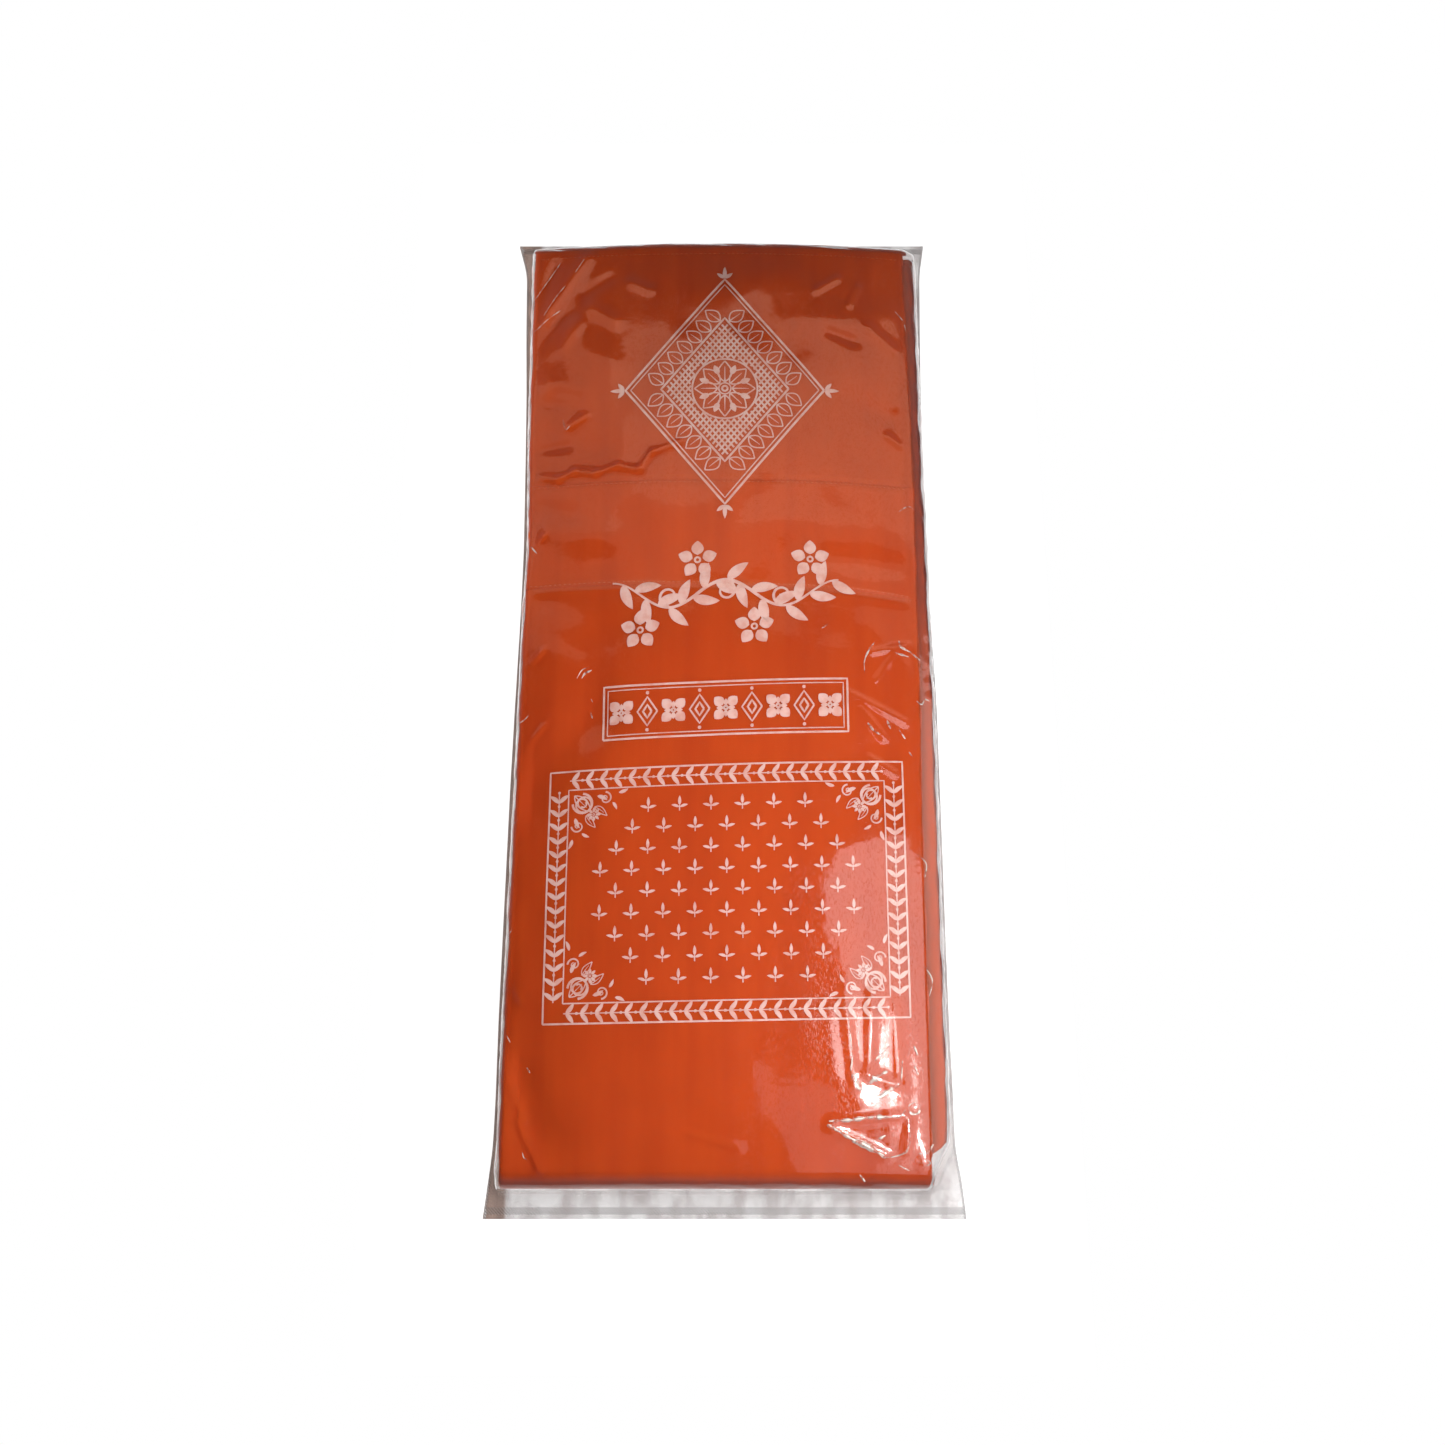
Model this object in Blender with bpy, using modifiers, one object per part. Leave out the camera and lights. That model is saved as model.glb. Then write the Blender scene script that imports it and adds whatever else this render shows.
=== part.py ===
"""A monk's robe, pleated and folded in three, in a clear bag. Metres, +Z up, resting on z = 0.

+Y runs along the stack to its free end, and -Y to the end where the outer fold wraps round.
Every piece is worked out on a stack with a flat top. One function, puffed(), then lifts all the
pieces alike into the crown and the large folds, so the gaps between them stay as they were.
"""

import math

import bmesh
import bpy
import numpy as np

COLLECTION = "folded_monk_robe"

# The bag
FILM_WALL = 0.0005
GAP = 0.0003
FILM_FLOOR = FILM_WALL + GAP + FILM_WALL

# The folded cloth
PANEL_WALL = 0.0012
BAND_PROUD = 0.0005
STACK_BOTTOM = FILM_WALL + GAP
STACK_TOP = 0.0265
STACK_NEAR = -0.300
LOWER_FAR = 0.300
UPPER_FAR = 0.296
GROOVE = 0.0016
CHORD_ROOM = 0.0005
CORE_INSET = PANEL_WALL + GAP + CHORD_ROOM
FILM_OUT = BAND_PROUD + GAP + FILM_WALL

# The film low on its sides, from the margin up, and where it bends over the middle packet
LOW_SIDE_LEFT = (
    # out, z
    (0.0008, 0.0034),
    (0.0000, 0.0095),
)
LOW_SIDE_RIGHT = (
    # out, z
    (0.0008, 0.0034),
    (0.0000, 0.0085),
)
LEDGE_BEND_IN = 0.0004
LEDGE_BEND_HEIGHT = 0.0012

# The film at both ends of the bag, with the share of its full height
NEAR_RISE = (
    # y, share
    (-0.3180, 0.00),
    (-0.3075, 0.00),
    (-0.3038, 0.08),
    (-0.3017, 0.30),
)
FAR_FALL = (
    # y, share
    (0.2968, 1.00),
    (0.2990, 0.94),
    (0.3014, 0.68),
    (0.3017, 0.30),
    (0.3038, 0.07),
    (0.3075, 0.00),
    (0.3180, 0.00),
)
LEVEL_FILM_END = 0.2885

# The outer fold at the near end is half an ellipse, and so is the inner fold at the far end.
WRAP_REACH = 0.011
WRAP_MIDDLE = (STACK_BOTTOM + STACK_TOP) / 2
WRAP_HALF = (STACK_TOP - STACK_BOTTOM) / 2
WRAP_ANGLES = (22.5, 45, 67.5, 90, 112.5, 135, 157.5)
INNER_FOLD_REACH = 0.008

# Crown over the middle of the stack
CROWN = 0.0115
CROWN_POWER = 2.2
FULL_LIFT_FROM = STACK_TOP - 0.003
LEVEL_EDGE = 0.003

# Spans of the meshes
SPANS_ACROSS = 12
LONGEST_SPAN = 0.048
NEAR_CORNER = 0.007
FAR_CORNER = 0.004
CORNER_STEP = 30

# Edges along the stack, as distances from its middle line, and its share of the crown
EDGES = np.array(
    [
        # y, left, top_right, middle_right, bag_left, bag_right, crown
        (-0.318, -0.1280, 0.1180, 0.1180, -0.1385, 0.1410, 0.05),
        (-0.296, -0.1281, 0.1187, 0.1187, -0.1360, 0.1389, 0.14),
        (-0.281, -0.1277, 0.1193, 0.1193, -0.1345, 0.1363, 0.33),
        (-0.277, -0.1275, 0.1195, 0.1285, -0.1342, 0.1360, 0.38),
        (-0.252, -0.1276, 0.1197, 0.1296, -0.1338, 0.1360, 0.63),
        (-0.207, -0.1275, 0.1200, 0.1297, -0.1339, 0.1354, 0.86),
        (-0.161, -0.1268, 0.1204, 0.1297, -0.1335, 0.1354, 0.96),
        (-0.114, -0.1262, 0.1208, 0.1299, -0.1330, 0.1356, 1.00),
        (-0.065, -0.1256, 0.1214, 0.1302, -0.1325, 0.1357, 1.00),
        (-0.015, -0.1253, 0.1226, 0.1304, -0.1316, 0.1358, 1.00),
        (0.037, -0.1248, 0.1227, 0.1299, -0.1304, 0.1345, 1.00),
        (0.063, -0.1240, 0.1228, 0.1296, -0.1300, 0.1338, 1.00),
        (0.090, -0.1233, 0.1230, 0.1297, -0.1298, 0.1334, 1.00),
        (0.118, -0.1242, 0.1234, 0.1295, -0.1302, 0.1332, 1.00),
        (0.160, -0.1254, 0.1232, 0.1291, -0.1310, 0.1333, 0.99),
        (0.203, -0.1259, 0.1228, 0.1288, -0.1320, 0.1335, 0.95),
        (0.250, -0.1260, 0.1222, 0.1290, -0.1338, 0.1346, 0.84),
        (0.296, -0.1268, 0.1215, 0.1287, -0.1350, 0.1360, 0.62),
        (0.318, -0.1268, 0.1215, 0.1287, -0.1410, 0.1395, 0.50),
    ]
)
EDGE_COLUMNS = ("y", "left", "top_right", "middle_right", "bag_left", "bag_right", "crown")
MIDDLE_END_ROUND = 0.005

# Fold edges that show on the long sides, from the floor up, with how far each stands back
LAYERS = (
    # right_edge, left_back, right_back, far_back
    ("top_right", 0.0016, 0.0004, 0.0000),
    ("top_right", 0.0005, -0.0012, 0.0000),
    ("top_right", 0.0010, -0.0003, 0.0000),
    ("middle_right", 0.0003, 0.0012, 0.0000),
    ("middle_right", 0.0000, 0.0000, 0.0000),
    ("middle_right", 0.0008, 0.0007, 0.0000),
    ("top_right", 0.0002, 0.0001, 0.0009),
    ("top_right", 0.0009, 0.0006, 0.0000),
    ("top_right", 0.0012, 0.0009, 0.0004),
)
LOWER_LAYERS = 6
TOP_LAYER = len(LAYERS) - 1
LAYER_HEIGHT = (STACK_TOP - STACK_BOTTOM) / len(LAYERS)
SHOULDER = STACK_TOP - (STACK_BOTTOM + TOP_LAYER * LAYER_HEIGHT) - GAP
SHOULDER_ROUND = 0.75
ROUND_EDGE = (
    # share_of_height, inset
    (0.30, 0.0),
    (0.70, 0.0),
    (0.96, GROOVE),
)
GROOVE_UNDER_STEP = (0.04, GROOVE)
CORE_RANGE = (-0.2815, 0.287)
SEAM_ROOM = 0.003

# The two seams of the cross band, as places along the stack
SEAMS = np.array(
    [
        # x, near_seam, far_seam
        (-0.125, 0.0568, 0.1262),
        (-0.060, 0.0572, 0.1266),
        (0.000, 0.0556, 0.1262),
        (0.070, 0.0545, 0.1268),
        (0.100, 0.0520, 0.1260),
        (0.125, 0.0490, 0.1252),
    ]
)

# Large folds of the top layer: a ridge has a height above nought, a valley one below
FOLDS = (
    # start_x, start_y, end_x, end_y, half_width, height
    (-0.076, 0.016, -0.079, -0.029, 0.016, -0.0013),
    (-0.079, -0.029, -0.116, -0.074, 0.016, -0.0015),
    (-0.117, -0.240, -0.104, -0.272, 0.014, -0.0013),
    (-0.060, -0.120, -0.095, -0.150, 0.022, 0.0009),
    (0.060, 0.215, 0.085, 0.150, 0.024, -0.0008),
)
FOLD_FADE = 0.06


def edge(column, y):
    """The place across the stack of one edge, or the share of the crown, at y."""
    return np.interp(y, EDGES[:, 0], EDGES[:, EDGE_COLUMNS.index(column)])


def left_of_layer(layer, y):
    return edge("left", y) + LAYERS[layer][1]


def right_of_layer(layer, y):
    right_edge, _, right_back, _ = LAYERS[layer]
    return edge(right_edge, y) - right_back


def fold_height(x, y):
    """The large folds of the top layer at a place."""
    height = 0.0
    for start_x, start_y, end_x, end_y, half_width, peak in FOLDS:
        run_x, run_y = end_x - start_x, end_y - start_y
        along = ((x - start_x) * run_x + (y - start_y) * run_y) / (run_x**2 + run_y**2)
        along = min(max(along, 0.0), 1.0)
        away = math.hypot(x - start_x - along * run_x, y - start_y - along * run_y)
        height += peak * math.exp(-((away / half_width) ** 2))
    return height


def puffed(point):
    """A point of the flat-topped stack, lifted into the crown and the large folds."""
    x, y, z = point
    left = left_of_layer(TOP_LAYER, y)
    right = right_of_layer(TOP_LAYER, y)
    half_width = (right - left) / 2 - LEVEL_EDGE
    across = min(abs(x - (left + right) / 2) / half_width, 1.0)
    crown = CROWN * edge("crown", y) * (1 - across**CROWN_POWER)
    inside = min((1 - across) / FOLD_FADE, 1.0)
    share = (z - FILM_FLOOR) / (FULL_LIFT_FROM - FILM_FLOOR)
    lift = (crown + fold_height(x, y) * inside) * min(max(share, 0.0), 1.0)
    return (x, y, z + lift)


def wrap_y(z, inset):
    """Where the near end lies at a height, for a surface that stands back by inset."""
    rise = min(abs(z - WRAP_MIDDLE) / (WRAP_HALF - inset), 1.0)
    return STACK_NEAR + WRAP_REACH - (WRAP_REACH - inset) * math.sqrt(1 - rise**2)


def inner_fold_y(z):
    """Where the fold of the two lower packets lies at a height, at the far end."""
    middle = STACK_BOTTOM + LOWER_LAYERS * LAYER_HEIGHT / 2
    half = LOWER_LAYERS * LAYER_HEIGHT / 2
    rise = min(abs(z - middle) / half, 1.0)
    return LOWER_FAR - INNER_FOLD_REACH * (1 - math.sqrt(1 - rise**2))


def stations(low, high):
    """Places along the stack between two others: the rows of the edges, and a middle in a long span."""
    places = list(EDGES[:, 0])
    middles = [(a + b) / 2 for a, b in zip(places, places[1:]) if b - a > LONGEST_SPAN]
    return [y for y in sorted(places + middles) if low < y < high]


def corner(side_x, end_y, radius, along_x, along_y):
    """An arc round a corner, from the long side to the end. along_x and along_y are -1 or 1."""
    angles = np.radians(np.arange(0, 90 + CORNER_STEP / 2, CORNER_STEP))
    return [
        (
            side_x - along_x * radius * (1 - math.cos(a)),
            end_y - along_y * radius * (1 - math.sin(a)),
        )
        for a in angles
    ]


def between(start, end):
    """Even points between two ends, which are left out."""
    shares = np.linspace(0, 1, SPANS_ACROSS + 1)[1:-1]
    return [(start[0] + (end[0] - start[0]) * s, start[1] + (end[1] - start[1]) * s) for s in shares]


def ring(layer, z, side_inset, far_inset):
    """One outline of the layers, as its near end, right side, far end and left side in turn.

    The near end stands back for the panel that wraps round it."""
    near = wrap_y(z, CORE_INSET)
    if layer < LOWER_LAYERS:
        far = inner_fold_y(z)
    else:
        far = UPPER_FAR - LAYERS[layer][3] - far_inset
    near_left = corner(left_of_layer(TOP_LAYER, near) + CORE_INSET, near, NEAR_CORNER, -1, -1)
    near_right = corner(right_of_layer(TOP_LAYER, near) - CORE_INSET, near, NEAR_CORNER, 1, -1)
    far_left = corner(left_of_layer(layer, far) + side_inset, far, FAR_CORNER, -1, 1)
    far_right = corner(right_of_layer(layer, far) - side_inset, far, FAR_CORNER, 1, 1)
    sides = (
        near_left + between(near_left[-1], near_right[-1]) + near_right[::-1],
        [(right_of_layer(layer, y) - side_inset, y) for y in stations(*CORE_RANGE)],
        far_right + between(far_right[-1], far_left[-1]) + far_left[::-1],
        [(left_of_layer(layer, y) + side_inset, y) for y in reversed(stations(*CORE_RANGE))],
    )
    return [[(x, y, z) for x, y in side] for side in sides]


def layer_rings():
    """Outlines from the floor up: a groove between each pair of layers, and a round edge on each."""
    rings = [ring(0, STACK_BOTTOM, GROOVE, 0.0)]
    for layer in range(TOP_LAYER):
        base = STACK_BOTTOM + layer * LAYER_HEIGHT
        steps_out = LAYERS[layer][0] != LAYERS[max(layer - 1, 0)][0]
        profile = (GROOVE_UNDER_STEP, *ROUND_EDGE) if steps_out else ROUND_EDGE
        for share, inset in profile:
            rings.append(ring(layer, base + share * LAYER_HEIGHT, inset, inset))
    low = STACK_TOP - SHOULDER
    high = STACK_TOP - CORE_INSET
    rings.append(ring(TOP_LAYER, low, CORE_INSET, GAP))
    rings.append(ring(TOP_LAYER, high, SHOULDER, GAP))
    return rings


def shoulder_profile(depth):
    """Across one edge, from the side to the top: how far in, and how far down."""
    radius = depth * SHOULDER_ROUND
    angles = np.radians((0, 30, 60, 90))
    arc = [(radius * (1 - math.cos(a)), radius * (1 - math.sin(a))) for a in angles]
    return [(0.0, depth)] + arc


def section(left, right, depth):
    """Places across a panel and how far each lies below its top, with both edges turned down."""
    turned = shoulder_profile(depth)
    middle = [(x, 0.0) for x in np.linspace(left + depth, right - depth, SPANS_ACROSS + 1)]
    return (
        [(left + across, down) for across, down in turned]
        + middle
        + [(right - across, down) for across, down in reversed(turned)]
    )


def seam_y(x, column):
    return np.interp(x, SEAMS[:, 0], SEAMS[:, column])


def panel_row(y_at, proud):
    """One row of a panel across the stack. y_at gives the place along the stack for each x."""
    left = left_of_layer(TOP_LAYER, y_at(SEAMS[0, 0]))
    right = right_of_layer(TOP_LAYER, y_at(SEAMS[-1, 0]))
    profile = section(left - proud, right + proud, SHOULDER + proud)
    return [puffed((x, y_at(x), STACK_TOP + proud - down)) for x, down in profile]


def panel_rows(start, end, proud=0.0):
    """Rows from one seam or end to another. start and end give a place along the stack for each x."""
    inner = stations(start(0.0) + SEAM_ROOM, end(0.0) - SEAM_ROOM)
    rows = [panel_row(start, proud)]
    rows += [panel_row(lambda x, y=y: y, proud) for y in inner]
    return rows + [panel_row(end, proud)]


def wrap_rows():
    """Rows of the near panel where it turns up round the near end, from its lower edge."""
    rows = []
    for angle in reversed(WRAP_ANGLES):
        turn = math.radians(angle)
        y = STACK_NEAR + WRAP_REACH - WRAP_REACH * math.sin(turn)
        z = WRAP_MIDDLE + WRAP_HALF * math.cos(turn)
        normal = np.array((-math.sin(turn) / WRAP_REACH, math.cos(turn) / WRAP_HALF))
        normal /= np.linalg.norm(normal)
        profile = section(left_of_layer(TOP_LAYER, y), right_of_layer(TOP_LAYER, y), SHOULDER)
        rows.append([puffed((x, y - normal[0] * down, z - normal[1] * down)) for x, down in profile])
    return rows


def film_section(y):
    """The front film across the stack at its full height: from one side fold to the other."""
    left, right = edge("left", y), edge("middle_right", y + MIDDLE_END_ROUND)
    bag_left, bag_right = edge("bag_left", y), edge("bag_right", y)
    top = section(
        left_of_layer(TOP_LAYER, y) - FILM_OUT,
        right_of_layer(TOP_LAYER, y) + FILM_OUT,
        SHOULDER + FILM_OUT,
    )
    side_left = left - FILM_OUT
    side_right = right + FILM_OUT
    foot_left = (bag_left + side_left) / 2
    foot_right = (bag_right + side_right) / 2
    ledge = STACK_BOTTOM + LOWER_LAYERS * LAYER_HEIGHT
    film_top = STACK_TOP + FILM_OUT
    return [
        (bag_left, FILM_FLOOR),
        (foot_left, FILM_FLOOR),
        *[(side_left - out, z) for out, z in LOW_SIDE_LEFT],
        (side_left, STACK_TOP - 2 * SHOULDER),
        *[(x, film_top - down) for x, down in top],
        (side_right - LEDGE_BEND_IN, ledge + LEDGE_BEND_HEIGHT),
        (side_right, ledge - LEDGE_BEND_HEIGHT),
        *[(side_right + out, z) for out, z in reversed(LOW_SIDE_RIGHT)],
        (foot_right, FILM_FLOOR),
        (bag_right, FILM_FLOOR),
    ]


def film_stations():
    """Places along the bag, and the share of its full height that the film has at each."""
    full = STACK_TOP + FILM_OUT - FILM_FLOOR
    wrapped = []
    for angle in WRAP_ANGLES[3::-1]:
        turn = math.radians(angle)
        y = STACK_NEAR + WRAP_REACH - (WRAP_REACH + FILM_OUT) * math.sin(turn)
        z = WRAP_MIDDLE + (WRAP_HALF + FILM_OUT) * math.cos(turn)
        wrapped.append((y, (z - FILM_FLOOR) / full))
    level_from = STACK_NEAR + WRAP_REACH
    level = [(y, 1.0) for y in [level_from, *stations(level_from, LEVEL_FILM_END)]]
    return [*NEAR_RISE, *wrapped, *level, *FAR_FALL]


def film_rows():
    rows = []
    for y, share in film_stations():
        profile = film_section(y)
        rows.append([puffed((x, y, FILM_FLOOR + (z - FILM_FLOOR) * share)) for x, z in profile])
    return rows


def material(name, colour, roughness, alpha=1.0):
    made = bpy.data.materials.new(name)
    made.use_nodes = True
    shader = made.node_tree.nodes["Principled BSDF"]
    shader.inputs["Base Color"].default_value = (*colour, 1)
    shader.inputs["Roughness"].default_value = roughness
    shader.inputs["Metallic"].default_value = 0
    shader.inputs["Alpha"].default_value = alpha
    return made


def add_object(name, data, finish, collection):
    made = bpy.data.objects.new(name, data)
    made.data.materials.append(finish)
    collection.objects.link(made)
    return made


def shade(mesh, degrees=40):
    mesh.shade_smooth()
    mesh.set_sharp_from_angle(angle=math.radians(degrees))


def mesh_of_rows(name, rows):
    """An open surface through rows of points, facing up."""
    cage = bmesh.new()
    grid = [[cage.verts.new(point) for point in row] for row in rows]
    for this, following in zip(grid, grid[1:]):
        for a, b, c, d in zip(this, this[1:], following[1:], following):
            cage.faces.new((a, b, c, d))
    mesh = bpy.data.meshes.new(name)
    cage.to_mesh(mesh)
    cage.free()
    shade(mesh)
    return mesh


def add_shell(name, rows, wall, finish, collection):
    """A wall of even thickness inside an open surface."""
    shell = add_object(name, mesh_of_rows(name, rows), finish, collection)
    solidify = shell.modifiers.new("wall", "SOLIDIFY")
    solidify.thickness = wall
    solidify.offset = -1
    solidify.use_even_offset = True
    return shell


def add_folded_layers(finish, collection):
    """The hidden layers as one solid, with their fold edges on its sides."""
    cage = bmesh.new()
    rings = [[[cage.verts.new(puffed(point)) for point in side] for side in ring] for ring in layer_rings()]
    loops = [sum(ring, []) for ring in rings]
    cage.faces.new(reversed(loops[0]))
    for lower, upper in zip(loops, loops[1:]):
        for i in range(len(lower)):
            following = (i + 1) % len(lower)
            cage.faces.new((lower[i], lower[following], upper[following], upper[i]))
    near, right, far, left = rings[-1]
    rows = []
    for left_end, right_end in zip(reversed(left), right):
        places = between(left_end.co.xy, right_end.co.xy)
        inner = [cage.verts.new(puffed((x, y, STACK_TOP - CORE_INSET))) for x, y in places]
        rows.append([left_end, *inner, right_end])
    for this, following in zip(rows, rows[1:]):
        for a, b, c, d in zip(this, this[1:], following[1:], following):
            cage.faces.new((a, b, c, d))
    cage.faces.new(near + rows[0][::-1])
    cage.faces.new(far + rows[-1])
    mesh = bpy.data.meshes.new("folded_layers")
    cage.to_mesh(mesh)
    cage.free()
    shade(mesh)
    return add_object("folded_layers", mesh, finish, collection)


def add_panels(finish, band_finish, collection):
    """The three pieces of the top layer: two panels and the band sewn across between them."""
    half_gap = GAP / 2
    near_rows = panel_rows(lambda x: STACK_NEAR + WRAP_REACH, lambda x: seam_y(x, 1) - half_gap)
    add_shell("top_panel_near", wrap_rows() + near_rows, PANEL_WALL, finish, collection)
    band_rows = panel_rows(
        lambda x: seam_y(x, 1) + half_gap,
        lambda x: seam_y(x, 2) - half_gap,
        BAND_PROUD,
    )
    add_shell("cross_band", band_rows, PANEL_WALL + BAND_PROUD, band_finish, collection)
    far_rows = panel_rows(
        lambda x: seam_y(x, 2) + half_gap,
        lambda x: UPPER_FAR - LAYERS[TOP_LAYER][3],
    )
    add_shell("top_panel_far", far_rows, PANEL_WALL, finish, collection)


def add_bag_back(finish, collection):
    """The back film, flat on the surface that the bag lies on."""
    curve = bpy.data.curves.new("bag_back", "CURVE")
    curve.dimensions = "2D"
    curve.fill_mode = "BOTH"
    curve.extrude = FILM_WALL / 2
    spline = curve.splines.new("POLY")
    places = EDGES[:, 0]
    outline = [(edge("bag_right", y), y) for y in places]
    outline += [(edge("bag_left", y), y) for y in reversed(places)]
    spline.points.add(len(outline) - 1)
    for point, (x, y) in zip(spline.points, outline):
        point.co = (x, y, 0, 1)
    spline.use_cyclic_u = True
    back = add_object("bag_back", curve, finish, collection)
    back.location.z = FILM_WALL / 2
    return back


def main():
    for existing in list(bpy.data.objects):
        bpy.data.objects.remove(existing)
    collection = bpy.data.collections.new(COLLECTION)
    bpy.context.scene.collection.children.link(collection)

    cloth = material("saffron_cloth", (0.56, 0.072, 0.012), 0.8)
    band = material("saffron_band", (0.58, 0.078, 0.013), 0.8)
    layers = material("saffron_fold_edges", (0.50, 0.060, 0.011), 0.85)
    film = material("clear_film", (0.92, 0.92, 0.93), 0.08, alpha=0.25)
    back_film = material("clear_back_film", (0.90, 0.90, 0.91), 0.1, alpha=0.25)

    add_bag_back(back_film, collection)
    add_folded_layers(layers, collection)
    add_panels(cloth, band, collection)
    add_shell("bag_front", film_rows(), FILM_WALL, film, collection)


main()
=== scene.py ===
"""A monk's robe, pleated and folded in three, in a clear bag with a pale print.

Metres, +Z up. +Y runs along the stack to its free end, and the camera looks down on it.
Every cloth and every film follows one shape, FoldedStack, so they stay the same distance apart.
"""

import logging
import math
from collections.abc import Callable
from dataclasses import dataclass
from enum import Enum

import bpy
import numpy as np
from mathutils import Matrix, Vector


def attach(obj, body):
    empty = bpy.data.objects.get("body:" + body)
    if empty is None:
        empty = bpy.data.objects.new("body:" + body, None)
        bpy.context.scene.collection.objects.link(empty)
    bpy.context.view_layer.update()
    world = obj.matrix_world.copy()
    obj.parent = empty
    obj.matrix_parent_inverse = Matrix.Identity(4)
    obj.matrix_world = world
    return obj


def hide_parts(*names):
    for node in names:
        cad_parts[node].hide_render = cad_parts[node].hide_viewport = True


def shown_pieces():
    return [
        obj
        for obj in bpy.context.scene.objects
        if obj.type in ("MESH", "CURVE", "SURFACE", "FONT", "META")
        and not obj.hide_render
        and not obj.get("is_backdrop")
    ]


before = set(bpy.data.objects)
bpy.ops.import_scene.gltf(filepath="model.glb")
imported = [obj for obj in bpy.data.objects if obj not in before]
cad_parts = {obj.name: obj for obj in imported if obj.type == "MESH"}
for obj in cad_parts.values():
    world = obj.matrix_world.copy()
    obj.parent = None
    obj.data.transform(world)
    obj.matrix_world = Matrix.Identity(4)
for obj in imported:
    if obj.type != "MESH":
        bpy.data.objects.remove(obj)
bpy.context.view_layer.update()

BODY = "root"
MM = 0.001

log = logging.getLogger("robe")

Points = np.ndarray
Faces = np.ndarray
Rows = tuple[tuple[float, ...], ...]
Colour = tuple[float, float, float]
Place = tuple[float, float, float]
Ramp = tuple[float, float, float, float]
Pair = tuple[float, float]
Line = Callable[[float], float]


class Edge(Enum):
    """An edge along the stack, by its column in EDGES."""

    LEFT = 1
    TOP_RIGHT = 2
    MIDDLE_RIGHT = 3
    BAG_LEFT = 4
    BAG_RIGHT = 5
    CROWN = 6


class Seam(Enum):
    """A seam of the cross band, by its column in SEAMS."""

    NEAR = 1
    FAR = 2


class Shown(Enum):
    """Where a light acts."""

    ON_CLOTH = "matt surfaces only"
    IN_MIRRORS = "glossy surfaces only"
    BOTH = "all surfaces"


class Slot(Enum):
    """The finishes that the part lists, by their names there."""

    CLOTH = "robe_cloth"
    BAND = "robe_band"
    FOLD_EDGES = "robe_fold_edges"
    FILM = "clear_film"
    BACK_FILM = "clear_back_film"


# Edges along the stack, as distances from its middle line, and its share of the crown
EDGES = np.array(
    [
        # y, left, top_right, middle_right, bag_left, bag_right, crown
        (-0.318, -0.1280, 0.1180, 0.1180, -0.1385, 0.1410, 0.05),
        (-0.296, -0.1281, 0.1187, 0.1187, -0.1360, 0.1389, 0.14),
        (-0.281, -0.1277, 0.1193, 0.1193, -0.1345, 0.1363, 0.33),
        (-0.277, -0.1275, 0.1195, 0.1285, -0.1342, 0.1360, 0.38),
        (-0.252, -0.1276, 0.1197, 0.1296, -0.1338, 0.1360, 0.63),
        (-0.207, -0.1275, 0.1200, 0.1297, -0.1339, 0.1354, 0.86),
        (-0.161, -0.1268, 0.1204, 0.1297, -0.1335, 0.1354, 0.96),
        (-0.114, -0.1262, 0.1208, 0.1299, -0.1330, 0.1356, 1.00),
        (-0.065, -0.1256, 0.1214, 0.1302, -0.1325, 0.1357, 1.00),
        (-0.015, -0.1253, 0.1226, 0.1304, -0.1316, 0.1358, 1.00),
        (0.037, -0.1248, 0.1227, 0.1299, -0.1304, 0.1345, 1.00),
        (0.063, -0.1240, 0.1228, 0.1296, -0.1300, 0.1338, 1.00),
        (0.090, -0.1233, 0.1230, 0.1297, -0.1298, 0.1334, 1.00),
        (0.118, -0.1242, 0.1234, 0.1295, -0.1302, 0.1332, 1.00),
        (0.160, -0.1254, 0.1232, 0.1291, -0.1310, 0.1333, 0.99),
        (0.203, -0.1259, 0.1228, 0.1288, -0.1320, 0.1335, 0.95),
        (0.250, -0.1260, 0.1222, 0.1290, -0.1338, 0.1346, 0.84),
        (0.296, -0.1268, 0.1215, 0.1287, -0.1350, 0.1360, 0.62),
        (0.318, -0.1268, 0.1215, 0.1287, -0.1410, 0.1395, 0.50),
    ]
)

# The two seams of the cross band, as places along the stack
SEAMS = np.array(
    [
        # x, near_seam, far_seam
        (-0.125, 0.0568, 0.1262),
        (-0.060, 0.0572, 0.1266),
        (0.000, 0.0556, 0.1262),
        (0.070, 0.0545, 0.1268),
        (0.100, 0.0520, 0.1260),
        (0.125, 0.0490, 0.1252),
    ]
)

# Fold edges on the long sides, from the floor up, with how far each stands back
LAYERS = (
    # right_edge, left_back, right_back, far_back
    (Edge.TOP_RIGHT, 0.0016, 0.0004, 0.0000),
    (Edge.TOP_RIGHT, 0.0005, -0.0012, 0.0000),
    (Edge.TOP_RIGHT, 0.0010, -0.0003, 0.0000),
    (Edge.MIDDLE_RIGHT, 0.0003, 0.0012, 0.0000),
    (Edge.MIDDLE_RIGHT, 0.0000, 0.0000, 0.0000),
    (Edge.MIDDLE_RIGHT, 0.0008, 0.0007, 0.0000),
    (Edge.TOP_RIGHT, 0.0002, 0.0001, 0.0009),
    (Edge.TOP_RIGHT, 0.0009, 0.0006, 0.0000),
    (Edge.TOP_RIGHT, 0.0012, 0.0009, 0.0004),
)
LOWER_LAYERS = 6
TOP_LAYER = len(LAYERS) - 1

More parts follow.
